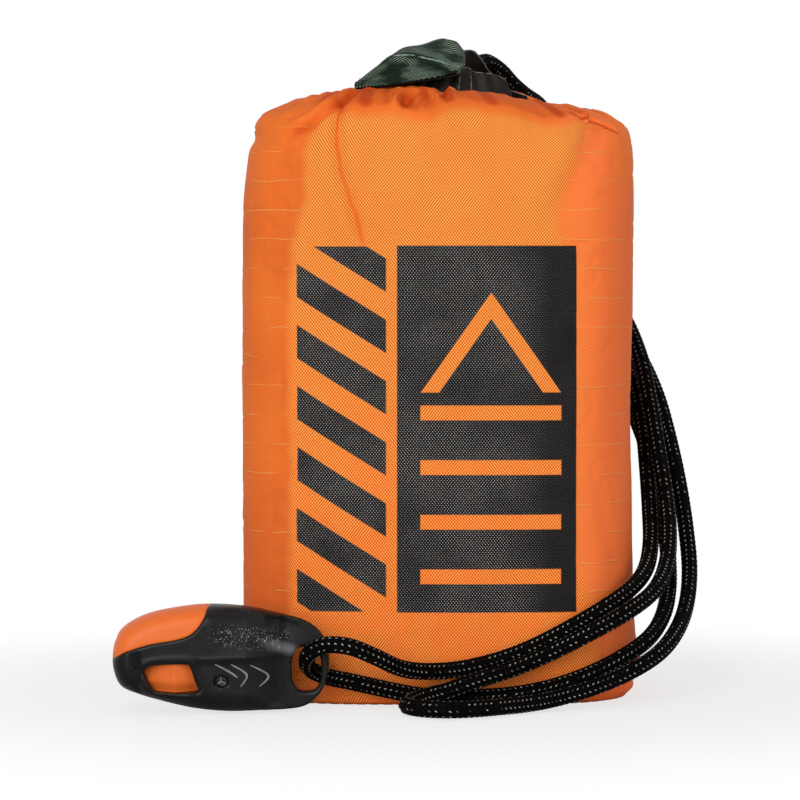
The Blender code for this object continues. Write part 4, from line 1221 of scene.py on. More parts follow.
# The flap across its width, left to right in millimetres, and the heights of three lines on its
# loose end above the frame's foot: its highest line, its front fold and its lower edge
FLAP_ACROSS = (-19.8, -17.2, -14.2, -11.5, -8.2, -4.9, 0.0, 3.2, 4.6, 5.0)
FLAP_CREST = (143.6, 145.7, 148.3, 150.6, 152.7, 153.1, 155.1, 154.0, 152.2, 150.4)
FLAP_FOLD = (143.2, 145.3, 147.8, 150.0, 150.1, 149.6, 148.3, 147.4, 147.0, 146.9)
FLAP_EDGE = (142.9, 143.2, 143.5, 143.8, 144.2, 144.8, 145.6, 146.3, 146.6, 146.7)


def ways_out(rows):
    """The way out of the sheet at each of its points."""
    out = np.cross(np.gradient(rows, axis=0), np.gradient(rows, axis=1))
    return out / np.maximum(np.linalg.norm(out, axis=-1, keepdims=True), 1e-12)


def flap_rows(offset):
    """Rows across the flap from its sewn edge to its loose one, pushed out by the offset."""
    shares = np.linspace(0, 1, FLAP_COLUMNS)
    across = np.interp(shares, np.linspace(0, 1, len(FLAP_ACROSS)), FLAP_ACROSS)
    lines = (np.interp(across, FLAP_ACROSS, line) for line in (FLAP_CREST, FLAP_FOLD, FLAP_EDGE))
    crest, fold, edge = (
        np.convolve(np.pad(line, 2, mode="edge"), np.ones(5) / 5, mode="valid") for line in lines
    )
    inner = np.linspace(-15.0, 15.0, FLAP_COLUMNS)
    back, axis_up = FLAP_AXIS[0] / MM, FLAP_AXIS[1] / MM
    waves = 0.35 * np.sin(shares * 17.0)

    def row(x, y, z):
        return np.stack(np.broadcast_arrays(x, y, z), axis=-1)

    controls = [
        row(inner, back - 0.6, axis_up),
        row(inner * 0.98, back - 8.0, axis_up + 0.4),
        row(inner * 0.94 - 0.4, back - 20.0, axis_up + 0.6 + 0.3 * waves),
        row(0.7 * inner - 1.4, back - 32.0, axis_up + 0.9 + 0.5 * waves),
        row(0.66 * inner - 3.0, back - 38.6, axis_up + 2.4 + waves),
        row(0.62 * inner - 3.6, back - 42.6, axis_up + 6.4 + waves),
        row(0.5 * (across + 0.62 * inner - 3.6), back - 44.6, 0.5 * (axis_up + 7.0 + crest)),
        row(across, back - 46.8, crest - 1.6),
        row(across, back - 50.0, crest - 0.3),
        row(across, back - 53.6, 0.5 * crest + 0.5 * fold - 0.1 + 0.5 * waves),
        row(across - 0.1, back - 57.2, fold + 0.5),
        row(across - 0.3, back - 57.0, 0.5 * (fold + edge) + 0.2 * waves),
        row(across - 0.1, back - 57.9, edge),
    ]
    rows = spread(controls, FLAP_ROWS) * MM
    out = ways_out(rows)
    loose = smooth_step(np.linspace(0, 1, len(rows)), 0.45, 0.7)[:, None]
    wrinkle = ripple(rows, 130.0, 8.0) * 0.55 + ripple(rows, 300.0, 9.0) * 0.22
    return rows + out * (wrinkle * loose * MM)[:, :, None] + out * offset


def build_flap(green, black):
    """The flap and its backing, and the rows of points of the flap's middle."""
    sides = (np.linspace(0, 27, FLAP_COLUMNS), np.linspace(0, 96, FLAP_ROWS))
    marks = np.stack(np.meshgrid(*sides), axis=-1)
    outer, made = flap_rows(0.25 * MM), []
    for node, rows, finish, slot, offset in (
        ("dust_flap", outer, green, "green_twill", 1.0),
        ("dust_flap_backing", flap_rows(-0.25 * MM), black, "black_satin", -1.0),
    ):
        mesh = skin(node + "_cloth", rows, False, marks)
        piece = placed(mesh, finish, "flap", [node])
        if piece.data.polygons[(FLAP_COLUMNS - 1) * 20].normal.z < 0:
            piece.data.flip_normals()
        made.append(thickened(piece, 0.45 * MM, offset))
    return outer


# The cord's route, as the frame's solids have it, but for the first lead, which is up to 2 mm off.
# The leads run from the hem to the knot: across, back from the mouth's back edge, and up from the
# ridge, in millimetres.
LEAD_OUT = (
    (2.0, -0.1, 0.4), (5.2, 0.5, 4.2), (8.2, 2.6, 7.6), (11.2, 6.2, 9.0), (14.6, 10.8, 7.4),
    (18.0, 15.3, 4.1), (21.2, 19.9, 1.7), (23.8, 24.6, 0.3), (25.6, 29.2, -1.2), (26.9, 34.0, -3.2),
)
LEAD_BACK = (
    (13.5, -1.7, -0.9), (10.3, 0.6, -0.1), (8.6, 3.9, 1.3), (8.4, 7.6, 2.5), (9.8, 11.0, 3.0),
    (12.7, 15.1, 3.2), (15.6, 19.2, 3.0), (18.8, 24.4, 1.6), (21.3, 29.6, -1.4), (22.4, 34.2, -4.9),
)
# Round the sack: steps of 72 a quarter from the back's middle, height and stand-off
DOWN_FIRST = (
    (23.6, 105.4, 4.0), (29.0, 98.8, 2.6), (36.0, 91.0, 2.5), (44.0, 82.0, 2.5), (52.0, 72.5, 2.6),
    (60.0, 62.0, 2.8), (67.0, 52.0, 3.1), (75.0, 43.0, 3.2), (84.0, 35.5, 3.0), (93.0, 30.0, 2.6),
    (101.0, 26.0, 2.5), (109.0, 21.8, 2.5), (117.0, 17.4, 2.5), (125.0, 13.4, 2.5),
    (133.0, 10.6, 2.6), (141.0, 9.0, 3.4),
)
# From where the cord crosses the whistle's eye: across, forward, up
THROUGH_EYE = (
    (25.9, -2.4, -2.3), (20.9, 1.8, -1.0), (15.6, 6.0, 1.9), (9.7, 7.9, 4.4), (4.7, 6.8, 4.6),
    (1.2, 4.0, 2.8), (0.0, 0.0, 0.0), (1.2, -3.8, -2.3), (4.6, -6.5, -4.0), (9.7, -7.5, -5.2),
    (16.9, -7.5, -6.8), (23.9, -7.5, -8.2),
)
UP_FIRST = (
    (144.0, 2.4, 2.6), (136.0, 2.5, 2.6), (128.0, 3.1, 2.7), (120.0, 4.6, 2.8), (112.0, 7.2, 3.0),
    (104.0, 10.8, 3.6), (96.0, 14.8, 4.8), (88.0, 19.4, 6.2), (80.0, 25.2, 7.4), (72.0, 32.5, 7.8),
    (65.5, 40.5, 7.2), (59.0, 50.0, 6.0), (52.5, 60.0, 4.6), (45.5, 70.0, 3.6), (38.0, 79.5, 3.4),
    (31.0, 88.0, 4.4), (25.0, 96.5, 6.5), (22.0, 104.0, 8.9),
)
DOWN_SECOND = (
    (31.4, 104.0, 3.3), (38.6, 97.6, 2.5), (46.0, 89.5, 2.7), (53.5, 80.0, 3.4), (60.5, 69.5, 4.3),
    (67.0, 58.5, 5.6), (74.0, 48.0, 6.9), (81.5, 39.5, 7.4), (89.5, 31.8, 7.2), (97.0, 26.4, 7.0),
    (104.0, 22.2, 6.8), (112.0, 17.6, 6.6), (120.0, 13.2, 6.4), (128.0, 9.6, 6.5), (136.0, 6.9, 6.6),
)
# The second tail turns back on the ground: across, in front of the sack, up
GROUND_TURN = (
    (1.5, 6.6, 4.6), (-3.2, 7.9, 3.5), (-6.7, 11.2, 2.7), (-8.0, 15.9, 2.3), (-6.7, 20.6, 2.3),
    (-3.2, 24.0, 2.3), (1.5, 25.2, 2.3), (7.4, 23.4, 2.3), (13.0, 19.4, 2.3), (18.6, 14.6, 2.3),
)
UP_SECOND = (
    (120.0, 2.8, 9.4), (112.0, 5.0, 7.8), (105.0, 8.0, 8.0), (98.0, 11.8, 8.8), (91.0, 16.4, 10.0),
    (84.0, 22.0, 11.6), (77.0, 29.5, 12.6), (71.0, 38.5, 12.2), (65.0, 49.0, 11.0),
    (58.5, 60.0, 9.4), (52.0, 70.5, 8.2), (45.5, 80.5, 7.4), (39.0, 90.0, 7.2), (33.0, 98.4, 7.5),
    (28.0, 105.2, 9.3),
)


def smooth_route(points, spacing):
    """Points spacing apart along a smooth curve through the route's own points."""
    dense = []
    last = len(points) - 1
    for i in range(last):
        p0, p1, p2, p3 = (points[min(max(i + k, 0), last)] for k in (-1, 0, 1, 2))
        t01, t12, t23 = (
            max((b - a).length, 1e-6) ** 0.5 for a, b in ((p0, p1), (p1, p2), (p2, p3))
        )
        m1 = (p2 - p1) + t12 * ((p1 - p0) / t01 - (p2 - p0) / (t01 + t12)) if i else p2 - p1
        m2 = (p2 - p1) + t12 * ((p3 - p2) / t23 - (p3 - p1) / (t12 + t23)) if i < last - 1 else p2 - p1
        for k in range(24):
            t = k / 24
            dense.append(
                (2 * t**3 - 3 * t**2 + 1) * p1
                + (t**3 - 2 * t**2 + t) * m1
                + (3 * t**2 - 2 * t**3) * p2
                + (t**3 - t**2) * m2
            )
    dense.append(points[-1])
    dense = np.array([tuple(p) for p in dense])
    return evenly(dense, max(2, round(travelled(dense)[-1] / spacing)) + 1)


def round_sack(places):
    points = []
    for steps, height, off in places:
        x, y, out = on_girth(np.array(GIRTH / 2 - steps / 288 * GIRTH))
        points.append(Vector((float(x), float(y), height * MM)) + Vector(out.tolist()) * off * MM)
    return points


def from_eye(places):
    return [EYE_PLACE + Vector((across, -forward, up)) * MM for across, forward, up in places]


def on_ground(places):
    return [
        Vector((across * MM, -SACK_DEPTH / 2 - forward * MM, up * MM))
        for across, forward, up in places
    ]


def knot_corner(across, back, up):
    """Where a strand meets the knot: left or right, near or far from the sack, above or below."""
    middle = (KNOT_LOW + KNOT_HIGH) / 2
    reach = (KNOT_HIGH.z - KNOT_LOW.z) / 2 + 0.3 * MM
    return middle + Vector((across * 2.2 * MM, back * 2.2 * MM, up * reach))


def lead_points(places):
    mouth_back = MOUTH_CENTRE[1] + MOUTH_HALF_DEPTH
    stretch = (knot_corner(0, 0, 0).y - mouth_back) / 0.0376
    return [
        Vector((across * MM, mouth_back + back * MM * stretch, RIDGE_HEIGHT + up * MM))
        for across, back, up in places
    ]


def held_route(spacing):
    """The cord in the hem, and its two leads to the knot."""
    hem = [hem_point(104 + step * 312 / 28) for step in range(29)]
    straight = Vector((0.0, 0.0, 0.004))
    first, last = knot_corner(1, 0, 1), knot_corner(-1, 0, 1)
    out = [first, first + straight] + lead_points(LEAD_OUT[::-1])
    route = smooth_route(out + hem + lead_points(LEAD_BACK) + [last + straight, last], spacing)
    route[:, 2] -= hem_sink(route[:, 0], route[:, 1])
    return route


def tail_route(across, places, spacing):
    straight = Vector((0.0, 0.0, 0.004))
    near, far = knot_corner(across, -1, -1), knot_corner(across, 1, -1)
    return smooth_route([near, near - straight] + places + [far - straight, far], spacing)


def braid_height(column, along):
    """Height of the braid from 0 to 1: columns of slanting stitches, leaning left and right."""
    inside = column % 1.0 - 0.5
    lean = np.where(np.floor(column) % 2 == 1, 1.0, -1.0)
    slanted = along + 0.9 * inside * lean
    return np.cos(math.pi * inside) ** 0.7 * (0.40 + 0.60 * np.abs(np.sin(math.pi * slanted)) ** 0.8)


def braided(name, route, sizes, cross=4):
    """A braided tube along the route, its ends closed."""
    ahead = headings(route)
    side = np.cross(ahead[0], (0.0, 1.0, 0.0))
    if np.linalg.norm(side) < 0.3:
        side = np.cross(ahead[0], (1.0, 0.0, 0.0))
    sides = []
    for way in ahead:
        side = side - way * side.dot(way)
        side /= np.linalg.norm(side)
        sides.append(side)
    sides = np.array(sides)
    others = np.cross(ahead, sides)
    along = travelled(route) / sizes.stitch
    count = sizes.columns * cross
    column = np.arange(count + 1) / cross
    angle = 2 * math.pi * column / sizes.columns
    high = braid_height(column[None, :-1] + 1e-6, along[:, None])
    radius = sizes.diameter / 2 - sizes.relief * (1 - high)
    radius[0] *= 0.72
    radius[-1] *= 0.72
    ring = (
        sides[:, None, :] * np.cos(angle[:-1])[None, :, None]
        + others[:, None, :] * np.sin(angle[:-1])[None, :, None]
    )
    points = route[:, None, :] + ring * radius[:, :, None]
    marks = np.stack(np.broadcast_arrays(column[None, :], along[:, None]), axis=-1)
    return skin(name, points, True, marks, caps=True)


def build_cords(sizes, finish):
    """The cord in the hem, its two tails and the knot."""
    spacing = sizes.stitch / 4
    first = round_sack(DOWN_FIRST) + from_eye(THROUGH_EYE) + round_sack(UP_FIRST)
    second = round_sack(DOWN_SECOND) + on_ground(GROUND_TURN) + round_sack(UP_SECOND)
    made = []
    for name, node, route in (
        ("drawcord_braid", "drawcord", held_route(spacing)),
        ("whistle_tail_braid", "cord_tail_whistle", tail_route(-1, first, spacing)),
        ("spare_tail_braid", "cord_tail_spare", tail_route(1, second, spacing)),
    ):
        mesh = braided(name, route, sizes)
        made.append((placed(mesh, finish, "sack", [node], crisp=75), route))
    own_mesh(made[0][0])
    knot = build_knot(sizes, finish)
    for cord, route in made:
        [tuple(point) for point in route[::6]] + [tuple(route[-1])]


def build_knot(sizes, finish):
    """The wraps of the knot: one strand wound four times round the others."""
    middle = (KNOT_LOW + KNOT_HIGH) / 2
    reach = KNOT_HIGH.x - middle.x
    tall = KNOT_HIGH.z - KNOT_LOW.z
    pitch = tall / 4
    angles = np.linspace(0, 2 * math.pi, 128, endpoint=False)
    rows, marks = [], []
    for height in np.linspace(0, tall, 97):
        turn = (height / pitch + angles / (2 * math.pi)) % 1.0
        rib = np.sqrt(np.maximum(1 - (2 * turn - 1) ** 2, 0.0))
        close = min(1.0, 0.62 + 0.38 * (min(height, tall - height) / (0.35 * pitch)))
        column = turn * sizes.columns / 2
        along = (angles * reach + height) / sizes.stitch
        lump = braid_height(column + 1e-6, along)
        radius = (reach - 1.9 * MM + 1.9 * MM * rib) * close - sizes.relief * (1 - lump)
        ring = (radius * np.cos(angles), radius * np.sin(angles), np.full(128, height))
        rows.append(np.stack(ring, axis=-1) + (middle.x, middle.y, KNOT_LOW.z))
        along = np.append(along, along[0] + 2 * math.pi * reach / sizes.stitch)
        marks.append(np.stack((np.append(column, column[0]), along), axis=-1))
    mesh = skin("cord_knot_wraps", rows, True, marks, caps=True)
    return placed(mesh, finish, "sack", ["cord_knot"], crisp=75)


# The whistle, in millimetres from where the cord crosses its eye: across and up
WHISTLE_OUTLINE = (
    (5.2, 0.2), (4.8, 4.0), (3.0, 7.2), (-0.6, 9.7), (-6.6, 11.4), (-13.9, 12.9), (-22.3, 13.4),
    (-29.4, 12.7), (-36.2, 11.2), (-41.2, 8.6), (-43.4, 5.6), (-44.2, 1.1), (-43.6, -2.8),
    (-41.8, -5.6), (-37.4, -7.4), (-31.7, -9.0), (-25.7, -10.3), (-18.9, -11.0), (-11.8, -10.9),
    (-1.6, -10.2), (2.6, -7.6), (4.6, -3.8),
)
MOUTHPIECE_EDGE = (
    (-22.6, 16.0), (-22.6, 12.2), (-23.4, 10.0), (-24.8, 8.0), (-26.8, 6.5), (-30.2, 5.5),
    (-35.4, 4.6), (-40.6, 3.0), (-46.6, 0.7), (-50.0, 8.0), (-40.0, 16.0),
)
WINDOW_EDGE = (
    (-36.9, -1.7), (-36.0, -0.6), (-34.2, -0.1), (-30.5, 0.15), (-26.9, 0.1), (-26.2, -0.6),
    (-25.3, -3.2), (-24.4, -5.6), (-24.9, -6.2), (-28.4, -6.5), (-32.6, -6.4), (-34.4, -6.1),
    (-35.4, -5.0), (-36.3, -3.2),
)
EYE_HALF = (3.4, 5.1)
EYE_MIDDLE = (0.0, -1.4)
SOUND_HOLE = (-19.2, -3.8)


def closed_curve(points, count):
    """Points evenly along a smooth closed line through the given ones."""
    points = np.asarray(points, float)
    looped = np.concatenate((points[-2:], points, points[:3]))
    dense = spread(looped, 40 * (len(looped) - 1) + 1)[80 : 80 + 40 * len(points)]
    return evenly(np.concatenate((dense, dense[:1])), count, True)


def round_hole(middle, wide, tall, power, count):
    """A closed line round the middle: an ellipse at power 1, and squarer below it."""
    angle = np.linspace(0, 2 * math.pi, count, endpoint=False)
    c, s = np.cos(angle), np.sin(angle)
    x, z = np.sign(c) * np.abs(c) ** power * wide, np.sign(s) * np.abs(s) ** power * tall
    return np.stack((x, z), axis=-1) + middle


def within(loop, points):
    """Which points are inside the loop."""
    x, z = points[:, 0], points[:, 1]
    inside = np.zeros(len(points), bool)
    for (ax, az), (bx, bz) in zip(loop, np.roll(loop, -1, axis=0)):
        crosses = (az > z) != (bz > z)
        slope = (bx - ax) * (z - az) / (bz - az + 1e-15) + ax
        inside ^= crosses & (x < slope)
    return inside


def from_loop(loop, points):
    """Distance of the points from the loop."""
    best = np.full(len(points), 1e9)
    for a, b in zip(loop, np.roll(loop, -1, axis=0)):
        line = b - a
        t = np.clip(((points - a) @ line) / (line @ line + 1e-15), 0, 1)
        best = np.minimum(best, np.linalg.norm(points - (a + t[:, None] * line), axis=1))
    return best


def shrunk(loop, distance):
    """The loop moved inwards by the distance, whichever way its points run."""
    smaller = beside(loop, distance)
    return smaller if within(loop, smaller).mean() > 0.5 else beside(loop, -distance)


def beside(loop, distance):
    """The loop moved by the distance, inwards if its points run anticlockwise."""
    ahead = np.roll(loop, -1, axis=0) - np.roll(loop, 1, axis=0)
    ahead /= np.linalg.norm(ahead, axis=1, keepdims=True)
    return loop + np.stack((-ahead[:, 1], ahead[:, 0]), axis=-1) * distance


def relief_plate(name, loops, kept, front, back, spacing, side):
    """A closed solid over a flat shape in the XZ plane: its skin at the front heights."""
    points, edges = strung(loops, True)

    def nearest(places):
        return np.min([from_loop(loop, places) for loop in loops], axis=0)

    # rows of points along the loops, and an even grid away from them
    fill = [
        beside(loop, distance * way)
        for loop in loops
        for distance in (0.03, 0.10, 0.22, 0.42, 0.75, 1.2, 1.8, 2.6)
        for way in (1, -1)
    ]
    low = np.min([loop.min(0) for loop in loops], axis=0)
    high = np.max([loop.max(0) for loop in loops], axis=0)
    xs, zs = np.meshgrid(np.arange(low[0], high[0], spacing), np.arange(low[1], high[1], spacing))
    xs[1::2] += spacing / 2
    grid = np.stack((xs.ravel(), zs.ravel()), axis=-1)
    fill = np.concatenate(fill)
    fill = np.concatenate((fill[nearest(fill) > 0.02], grid[nearest(grid) > 2.8]))
    fill = fill[kept(fill)]
    # points closer together than this would make slivers
    rounded = np.unique((fill / 0.12).round().astype(int), axis=0, return_index=True)[1]
    points += [tuple(p) for p in fill[np.sort(rounded)]]
    made = geometry.delaunay_2d_cdt([Vector(p) for p in points], edges, [], 0, 1e-5)
    flat = np.array([tuple(p) for p in made[0]])
    triangles = np.array([face for face in made[2] if len(face) == 3])
    triangles = triangles[kept(flat[triangles].mean(axis=1))]
    used, triangles = np.unique(triangles, return_inverse=True)
    flat, triangles = flat[used], triangles.reshape(-1, 3).tolist()
    count = len(flat)
    skins = [
        np.insert(flat, 1, side * heights, axis=1) * MM + np.array(EYE_PLACE)
        for heights in (front(flat), back(flat))
    ]
    ways = {edge: True for a, b, c in triangles for edge in ((a, b), (b, c), (c, a))}
    faces = [tuple(face) for face in triangles]
    faces += [(c + count, b + count, a + count) for a, b, c in triangles]
    faces += [(b, a, a + count, b + count) for a, b in ways if (b, a) not in ways]
    mesh = bpy.data.meshes.new(name)
    mesh.from_pydata(np.concatenate(skins).tolist(), [], faces)
    build = bmesh.new()
    build.from_mesh(mesh)
    bmesh.ops.remove_doubles(build, verts=build.verts, dist=1e-8)
    bmesh.ops.recalc_face_normals(build, faces=build.faces)
    build.to_mesh(mesh)
    build.free()
    return mesh


def inset_shape(outline, wide, shift, right, tall):
    """The outline drawn in towards the mouthpiece, and no further right than given."""
    across = (outline[:, 0] * wide - shift).clip(None, right)
    return np.stack((across, (outline[:, 1] - 0.7) * tall + 0.7), axis=-1)


def whistle_shapes():
    room = closed_curve(MOUTHPIECE_EDGE, 220)
    return {
        "outline": closed_curve(WHISTLE_OUTLINE, 300),
        "room": room,
        "lip": shrunk(room, 0.03),
        "window": closed_curve(WINDOW_EDGE, 110),
        "eye": round_hole(EYE_MIDDLE, *EYE_HALF, 0.75, 72),
        "hole": round_hole(SOUND_HOLE, 1.1, 1.1, 1.0, 36),
    }


def skin_height(points, shapes, sizes):
    """Height of the whistle's rounded skin above its middle plane, in millimetres."""
    half = sizes.thickness / 2 / MM
    x = points[:, 0]
    far = from_loop(shapes["outline"], points) * within(shapes["outline"], points)
    share = np.clip(far / (sizes.rounding / MM), 0, 1)
    height = half * (1 - (1 - share) ** 2.6) ** (1 / 2.2)
    limit = np.interp(x, (-13.5, -4.6), (half + 0.6, 1.8))
    gap = np.clip(0.5 + 0.5 * (height - limit) / 1.2, 0, 1)
    height = height * (1 - gap) + limit * gap - 1.2 * gap * (1 - gap)
    return np.maximum(height, 0.2)


def shell_height(points, shapes, sizes):
    x, z = points[:, 0], points[:, 1]
    height = skin_height(points, shapes, sizes)
    inner = smooth_step(from_loop(shapes["outline"], points), 0.4, 1.6)
    reach = smooth_step(x, -27.0, -24.0) * smooth_step(x, -4.0, -7.0)
    ridge = z - (1.2 + 0.05 * (x + 15))
    height -= 0.42 * smooth_step(ridge, 0.6, -0.6) * reach * inner
    height += 0.16 * bell(ridge, 0.7) * reach * inner
    groove = x - (-38.5 - 0.10 * z)
    height -= 0.95 * bell(groove, 0.85) * smooth_step(z, 3.4, 1.4) * inner
    tilt = smooth_step(x, -22.5, -14.0) * smooth_step(x, 1.0, -8.0)
    height -= 0.12 * np.clip(z - 1.6, 0.0, 12.0) * tilt * inner
    for key, width, depth in (("window", 0.55, 0.40), ("room", 0.45, 0.28), ("eye", 0.7, 0.45)):
        near = np.clip(1 - from_loop(shapes[key], points) / width, 0, 1)
        height -= depth * near**2
    frame_near = from_loop(shapes["window"], points)
    height += 0.16 * bell(frame_near - 1.15, 0.38) * inner
    bowl = np.hypot((x - SOUND_HOLE[0]) / 1.75, (z - SOUND_HOLE[1]) / 1.35)
    height -= 0.9 * smooth_step(bowl, 1.05, 0.75)
    return np.maximum(height, 0.2)


def build_shell(side, name, node, sizes, shapes, finish):
    loops = [shapes[key] for key in ("outline", "room", "window", "eye", "hole")]
    pocket = inset_shape(loops[0], 0.94, 1.4, -6.0, 0.86)

    def kept(points):
        inside = [within(loop, points) for loop in loops]
        return inside[0] & ~np.any(inside[1:], axis=0)

    def under(points):
        return np.where(within(pocket, points), 2.35, 0.15)

    def over(points):
        return np.maximum(shell_height(points, shapes, sizes), under(points) + 0.15)

    mesh = relief_plate(name, loops, kept, over, under, sizes.spacing / MM, side)
    placed(mesh, finish, "whistle", [node], crisp=38)


def build_core(sizes, shapes, finish):
    """The orange core: a plate between the shells, the mouthpiece, and the ramp in the window."""
    outline, lip_edge = shapes["outline"], shapes["lip"]
    plate = inset_shape(outline, 0.92, 1.9, -6.6, 0.82)
    ramp = shrunk(shapes["window"], 0.12)

    def on(loop, points):
        return within(loop, points) | (from_loop(loop, points) < 0.015)

    def kept(points):
        return within(plate, points) | (within(outline, points) & within(lip_edge, points))

    def over(points):
        x, z = points[:, 0], points[:, 1]
        slope = np.interp(x, (-37.0, -30.9, -29.8, -24.4), (2.7, 5.2, 5.8, 3.4))
        slope -= 1.3 * smooth_step(z, -3.6, -6.4)
        height = np.where(on(ramp, points), slope, 2.0)
        proud = skin_height(points, shapes, sizes) - 0.12
        near = np.clip(1 - from_loop(lip_edge, points) / 0.5, 0, 1)
        return np.where(on(lip_edge, points), np.maximum(proud - 0.25 * near**2, 0.25), height)

    def under(points):
        return np.zeros(len(points))

    name, loops = "whistle_core_body", [outline, lip_edge, plate, ramp]
    build = bmesh.new()
    for side in (-1, 1):
        half = relief_plate(name, loops, kept, over, under, sizes.spacing / MM, side)
        build.from_mesh(half)
        bpy.data.meshes.remove(half)
    bmesh.ops.remove_doubles(build, verts=build.verts, dist=2e-7)
    # the halves' flat faces meet in the middle and come out
    seen = {}
    for face in build.faces:
        seen.setdefault(frozenset(vert.index for vert in face.verts), []).append(face)
    doubled = [face for faces in seen.values() if len(faces) > 1 for face in faces]
    bmesh.ops.delete(build, geom=doubled, context="FACES_ONLY")
    loose = [vert for vert in build.verts if not vert.link_faces]
    bmesh.ops.delete(build, geom=loose, context="VERTS")
    bmesh.ops.recalc_face_normals(build, faces=build.faces)
    mesh = as_mesh(build, name)
    core = placed(mesh, finish, "whistle", ["whistle_core"], crisp=38)
    cut_windway(core, sizes)


def cut_windway(core, sizes):
    """The slot that the breath goes in by, from the mouthpiece's tip to the window."""
    build = bmesh.new()
    bmesh.ops.create_cube(build, size=1.0)
    bmesh.ops.scale(build, vec=(15 * MM, 0.30 * sizes.thickness, 1.6 * MM), verts=build.verts)
    bmesh.ops.bevel(build, geom=build.edges[:], offset=0.5 * MM, segments=3, affect="EDGES")
    bmesh.ops.translate(build, vec=EYE_PLACE + Vector((-40.5, 0.0, 5.6)) * MM, verts=build.verts)
    mesh = as_mesh(build, "windway")
    slot = linked("windway", mesh)
    cut = core.modifiers.new("windway", "BOOLEAN")
    cut.operation, cut.object = "DIFFERENCE", slot
    settled(core)
    bpy.data.objects.remove(slot)
    bpy.data.meshes.remove(mesh)


SOUND_ARCS = (
    ((-20.6, 0.2), (-17.2, -1.6), (-15.4, -2.9)),
    ((-17.0, 0.2), (-13.4, -2.2), (-14.8, -4.9)),
    ((-12.6, 0.0), (-8.6, -2.6), (-10.6, -5.0)),
)


def build_sound_marks(sizes, shapes, finish):
    """Three raised arcs beside the sound hole and a three-armed web in it, on both skins."""
    round_it = np.arange(8) * math.pi / 4
    thick = 0.26 * np.sin(np.linspace(0.12, math.pi - 0.12, 24)) ** 0.6
    reach, lift = thick[:, None] * np.cos(round_it), thick[:, None] * np.sin(round_it)

    def rod(place, turn, radius, tall):
        bmesh.ops.create_cone(
            build, cap_ends=True, segments=20, radius1=radius * MM, radius2=radius * MM,
            depth=tall * MM, matrix=Matrix.Translation(place) @ turn,
        )

    for side, name in ((-1, "sound_marks_near"), (1, "sound_marks_far")):
        build = bmesh.new()
        for arc in SOUND_ARCS:
            line = spread(arc, 24)
            ahead = headings(line)
            out = side * (shell_height(line, shapes, sizes)[:, None] + lift)
            rings = (line[:, :1] - ahead[:, 1:] * reach, out, line[:, 1:] + ahead[:, :1] * reach)
            mesh = skin("arc", np.stack(rings, axis=-1) * MM + np.array(EYE_PLACE), True, caps=True)
            build.from_mesh(mesh)
            bpy.data.meshes.remove(mesh)
        hub = Vector((SOUND_HOLE[0], side * 2.9, SOUND_HOLE[1])) * MM + EYE_PLACE
        # a dark disc closes the hole behind the web, standing in for the shade deep inside it
        rod(hub, Matrix.Rotation(math.pi / 2, 4, "X"), 1.25, 1.4)
        for degrees in (95, 215, 335):
            angle = math.radians(degrees)
            arm = Vector((0.52 * math.cos(angle), side * 1.9, 0.52 * math.sin(angle))) * MM
            rod(hub + arm, Matrix.Rotation(math.pi / 2 - angle, 4, "Y"), 0.17, 1.10)
        bmesh.ops.recalc_face_normals(build, faces=build.faces)
        placed(as_mesh(build, name), finish, "whistle")


# The roll of film


def roll_pinch(height):
    """How far the bands draw the roll in at this height."""
    boxes = (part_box("roll_band_lower"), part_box("roll_band_upper"))
    middles = [(low.z + high.z) / 2 for low, high in boxes]
    return sum(MM * math.exp(-(((height - middle) / (4.2 * MM)) ** 4)) for middle in middles)


def build_film(sizes, finish):
    """The rolled film: crinkled sides with an overlapping edge, and its turns at both ends."""
    distance = np.linspace(-GIRTH / 2, GIRTH / 2, 240, endpoint=False)
    inset = (SACK_WIDTH - (ROLL_HIGH.x - ROLL_LOW.x)) / 2
    turns = np.linspace(0, 1, 240, endpoint=False)

    def end_row(share, height, up):
        ring, _ = section(distance, inset + 1.5 * MM, height)
        ring[:, :2] *= share
        layer = np.sin((share * sizes.layers + turns) * 2 * math.pi)
        ring[:, 2] += up * (0.55 * layer * smooth_step(share, 0.05, 0.3) - 0.4) * MM
        return ring

    shares = np.linspace(0.03, 0.97, 66)
    rows = [end_row(share, ROLL_LOW.z + 0.6 * MM, -0.5) for share in shares]
    for height in np.linspace(ROLL_LOW.z, ROLL_HIGH.z, 96):
        end = min(height - ROLL_LOW.z, ROLL_HIGH.z - height, 4 * MM) / (4 * MM)
        round_in = 2.4 * MM * (1 - math.sqrt(max(0.0, 1 - (1 - end) ** 2)))
        ring, out = section(distance, inset + 0.5 * MM + round_in + roll_pinch(height), height)
        crush = ripple(ring * (1.0, 1.0, 0.6), 140.0, 11.0) + 0.5 * ripple(ring, 330.0, 12.0)
        lap = 0.55 * smooth_step(distance, 0.030, 0.0304) * smooth_step(distance, GIRTH / 2, 0.05)
        rows.append(ring + out * ((crush * sizes.crinkle + lap * MM)[:, None]))
    rows += [end_row(share, ROLL_HIGH.z - 0.6 * MM, 1.0) for share in shares[::-1]]
    mesh = skin("tent_film_body", rows, True, caps=True)
    placed(mesh, finish, "tent_roll", ["tent_film_roll"], crisp=50)


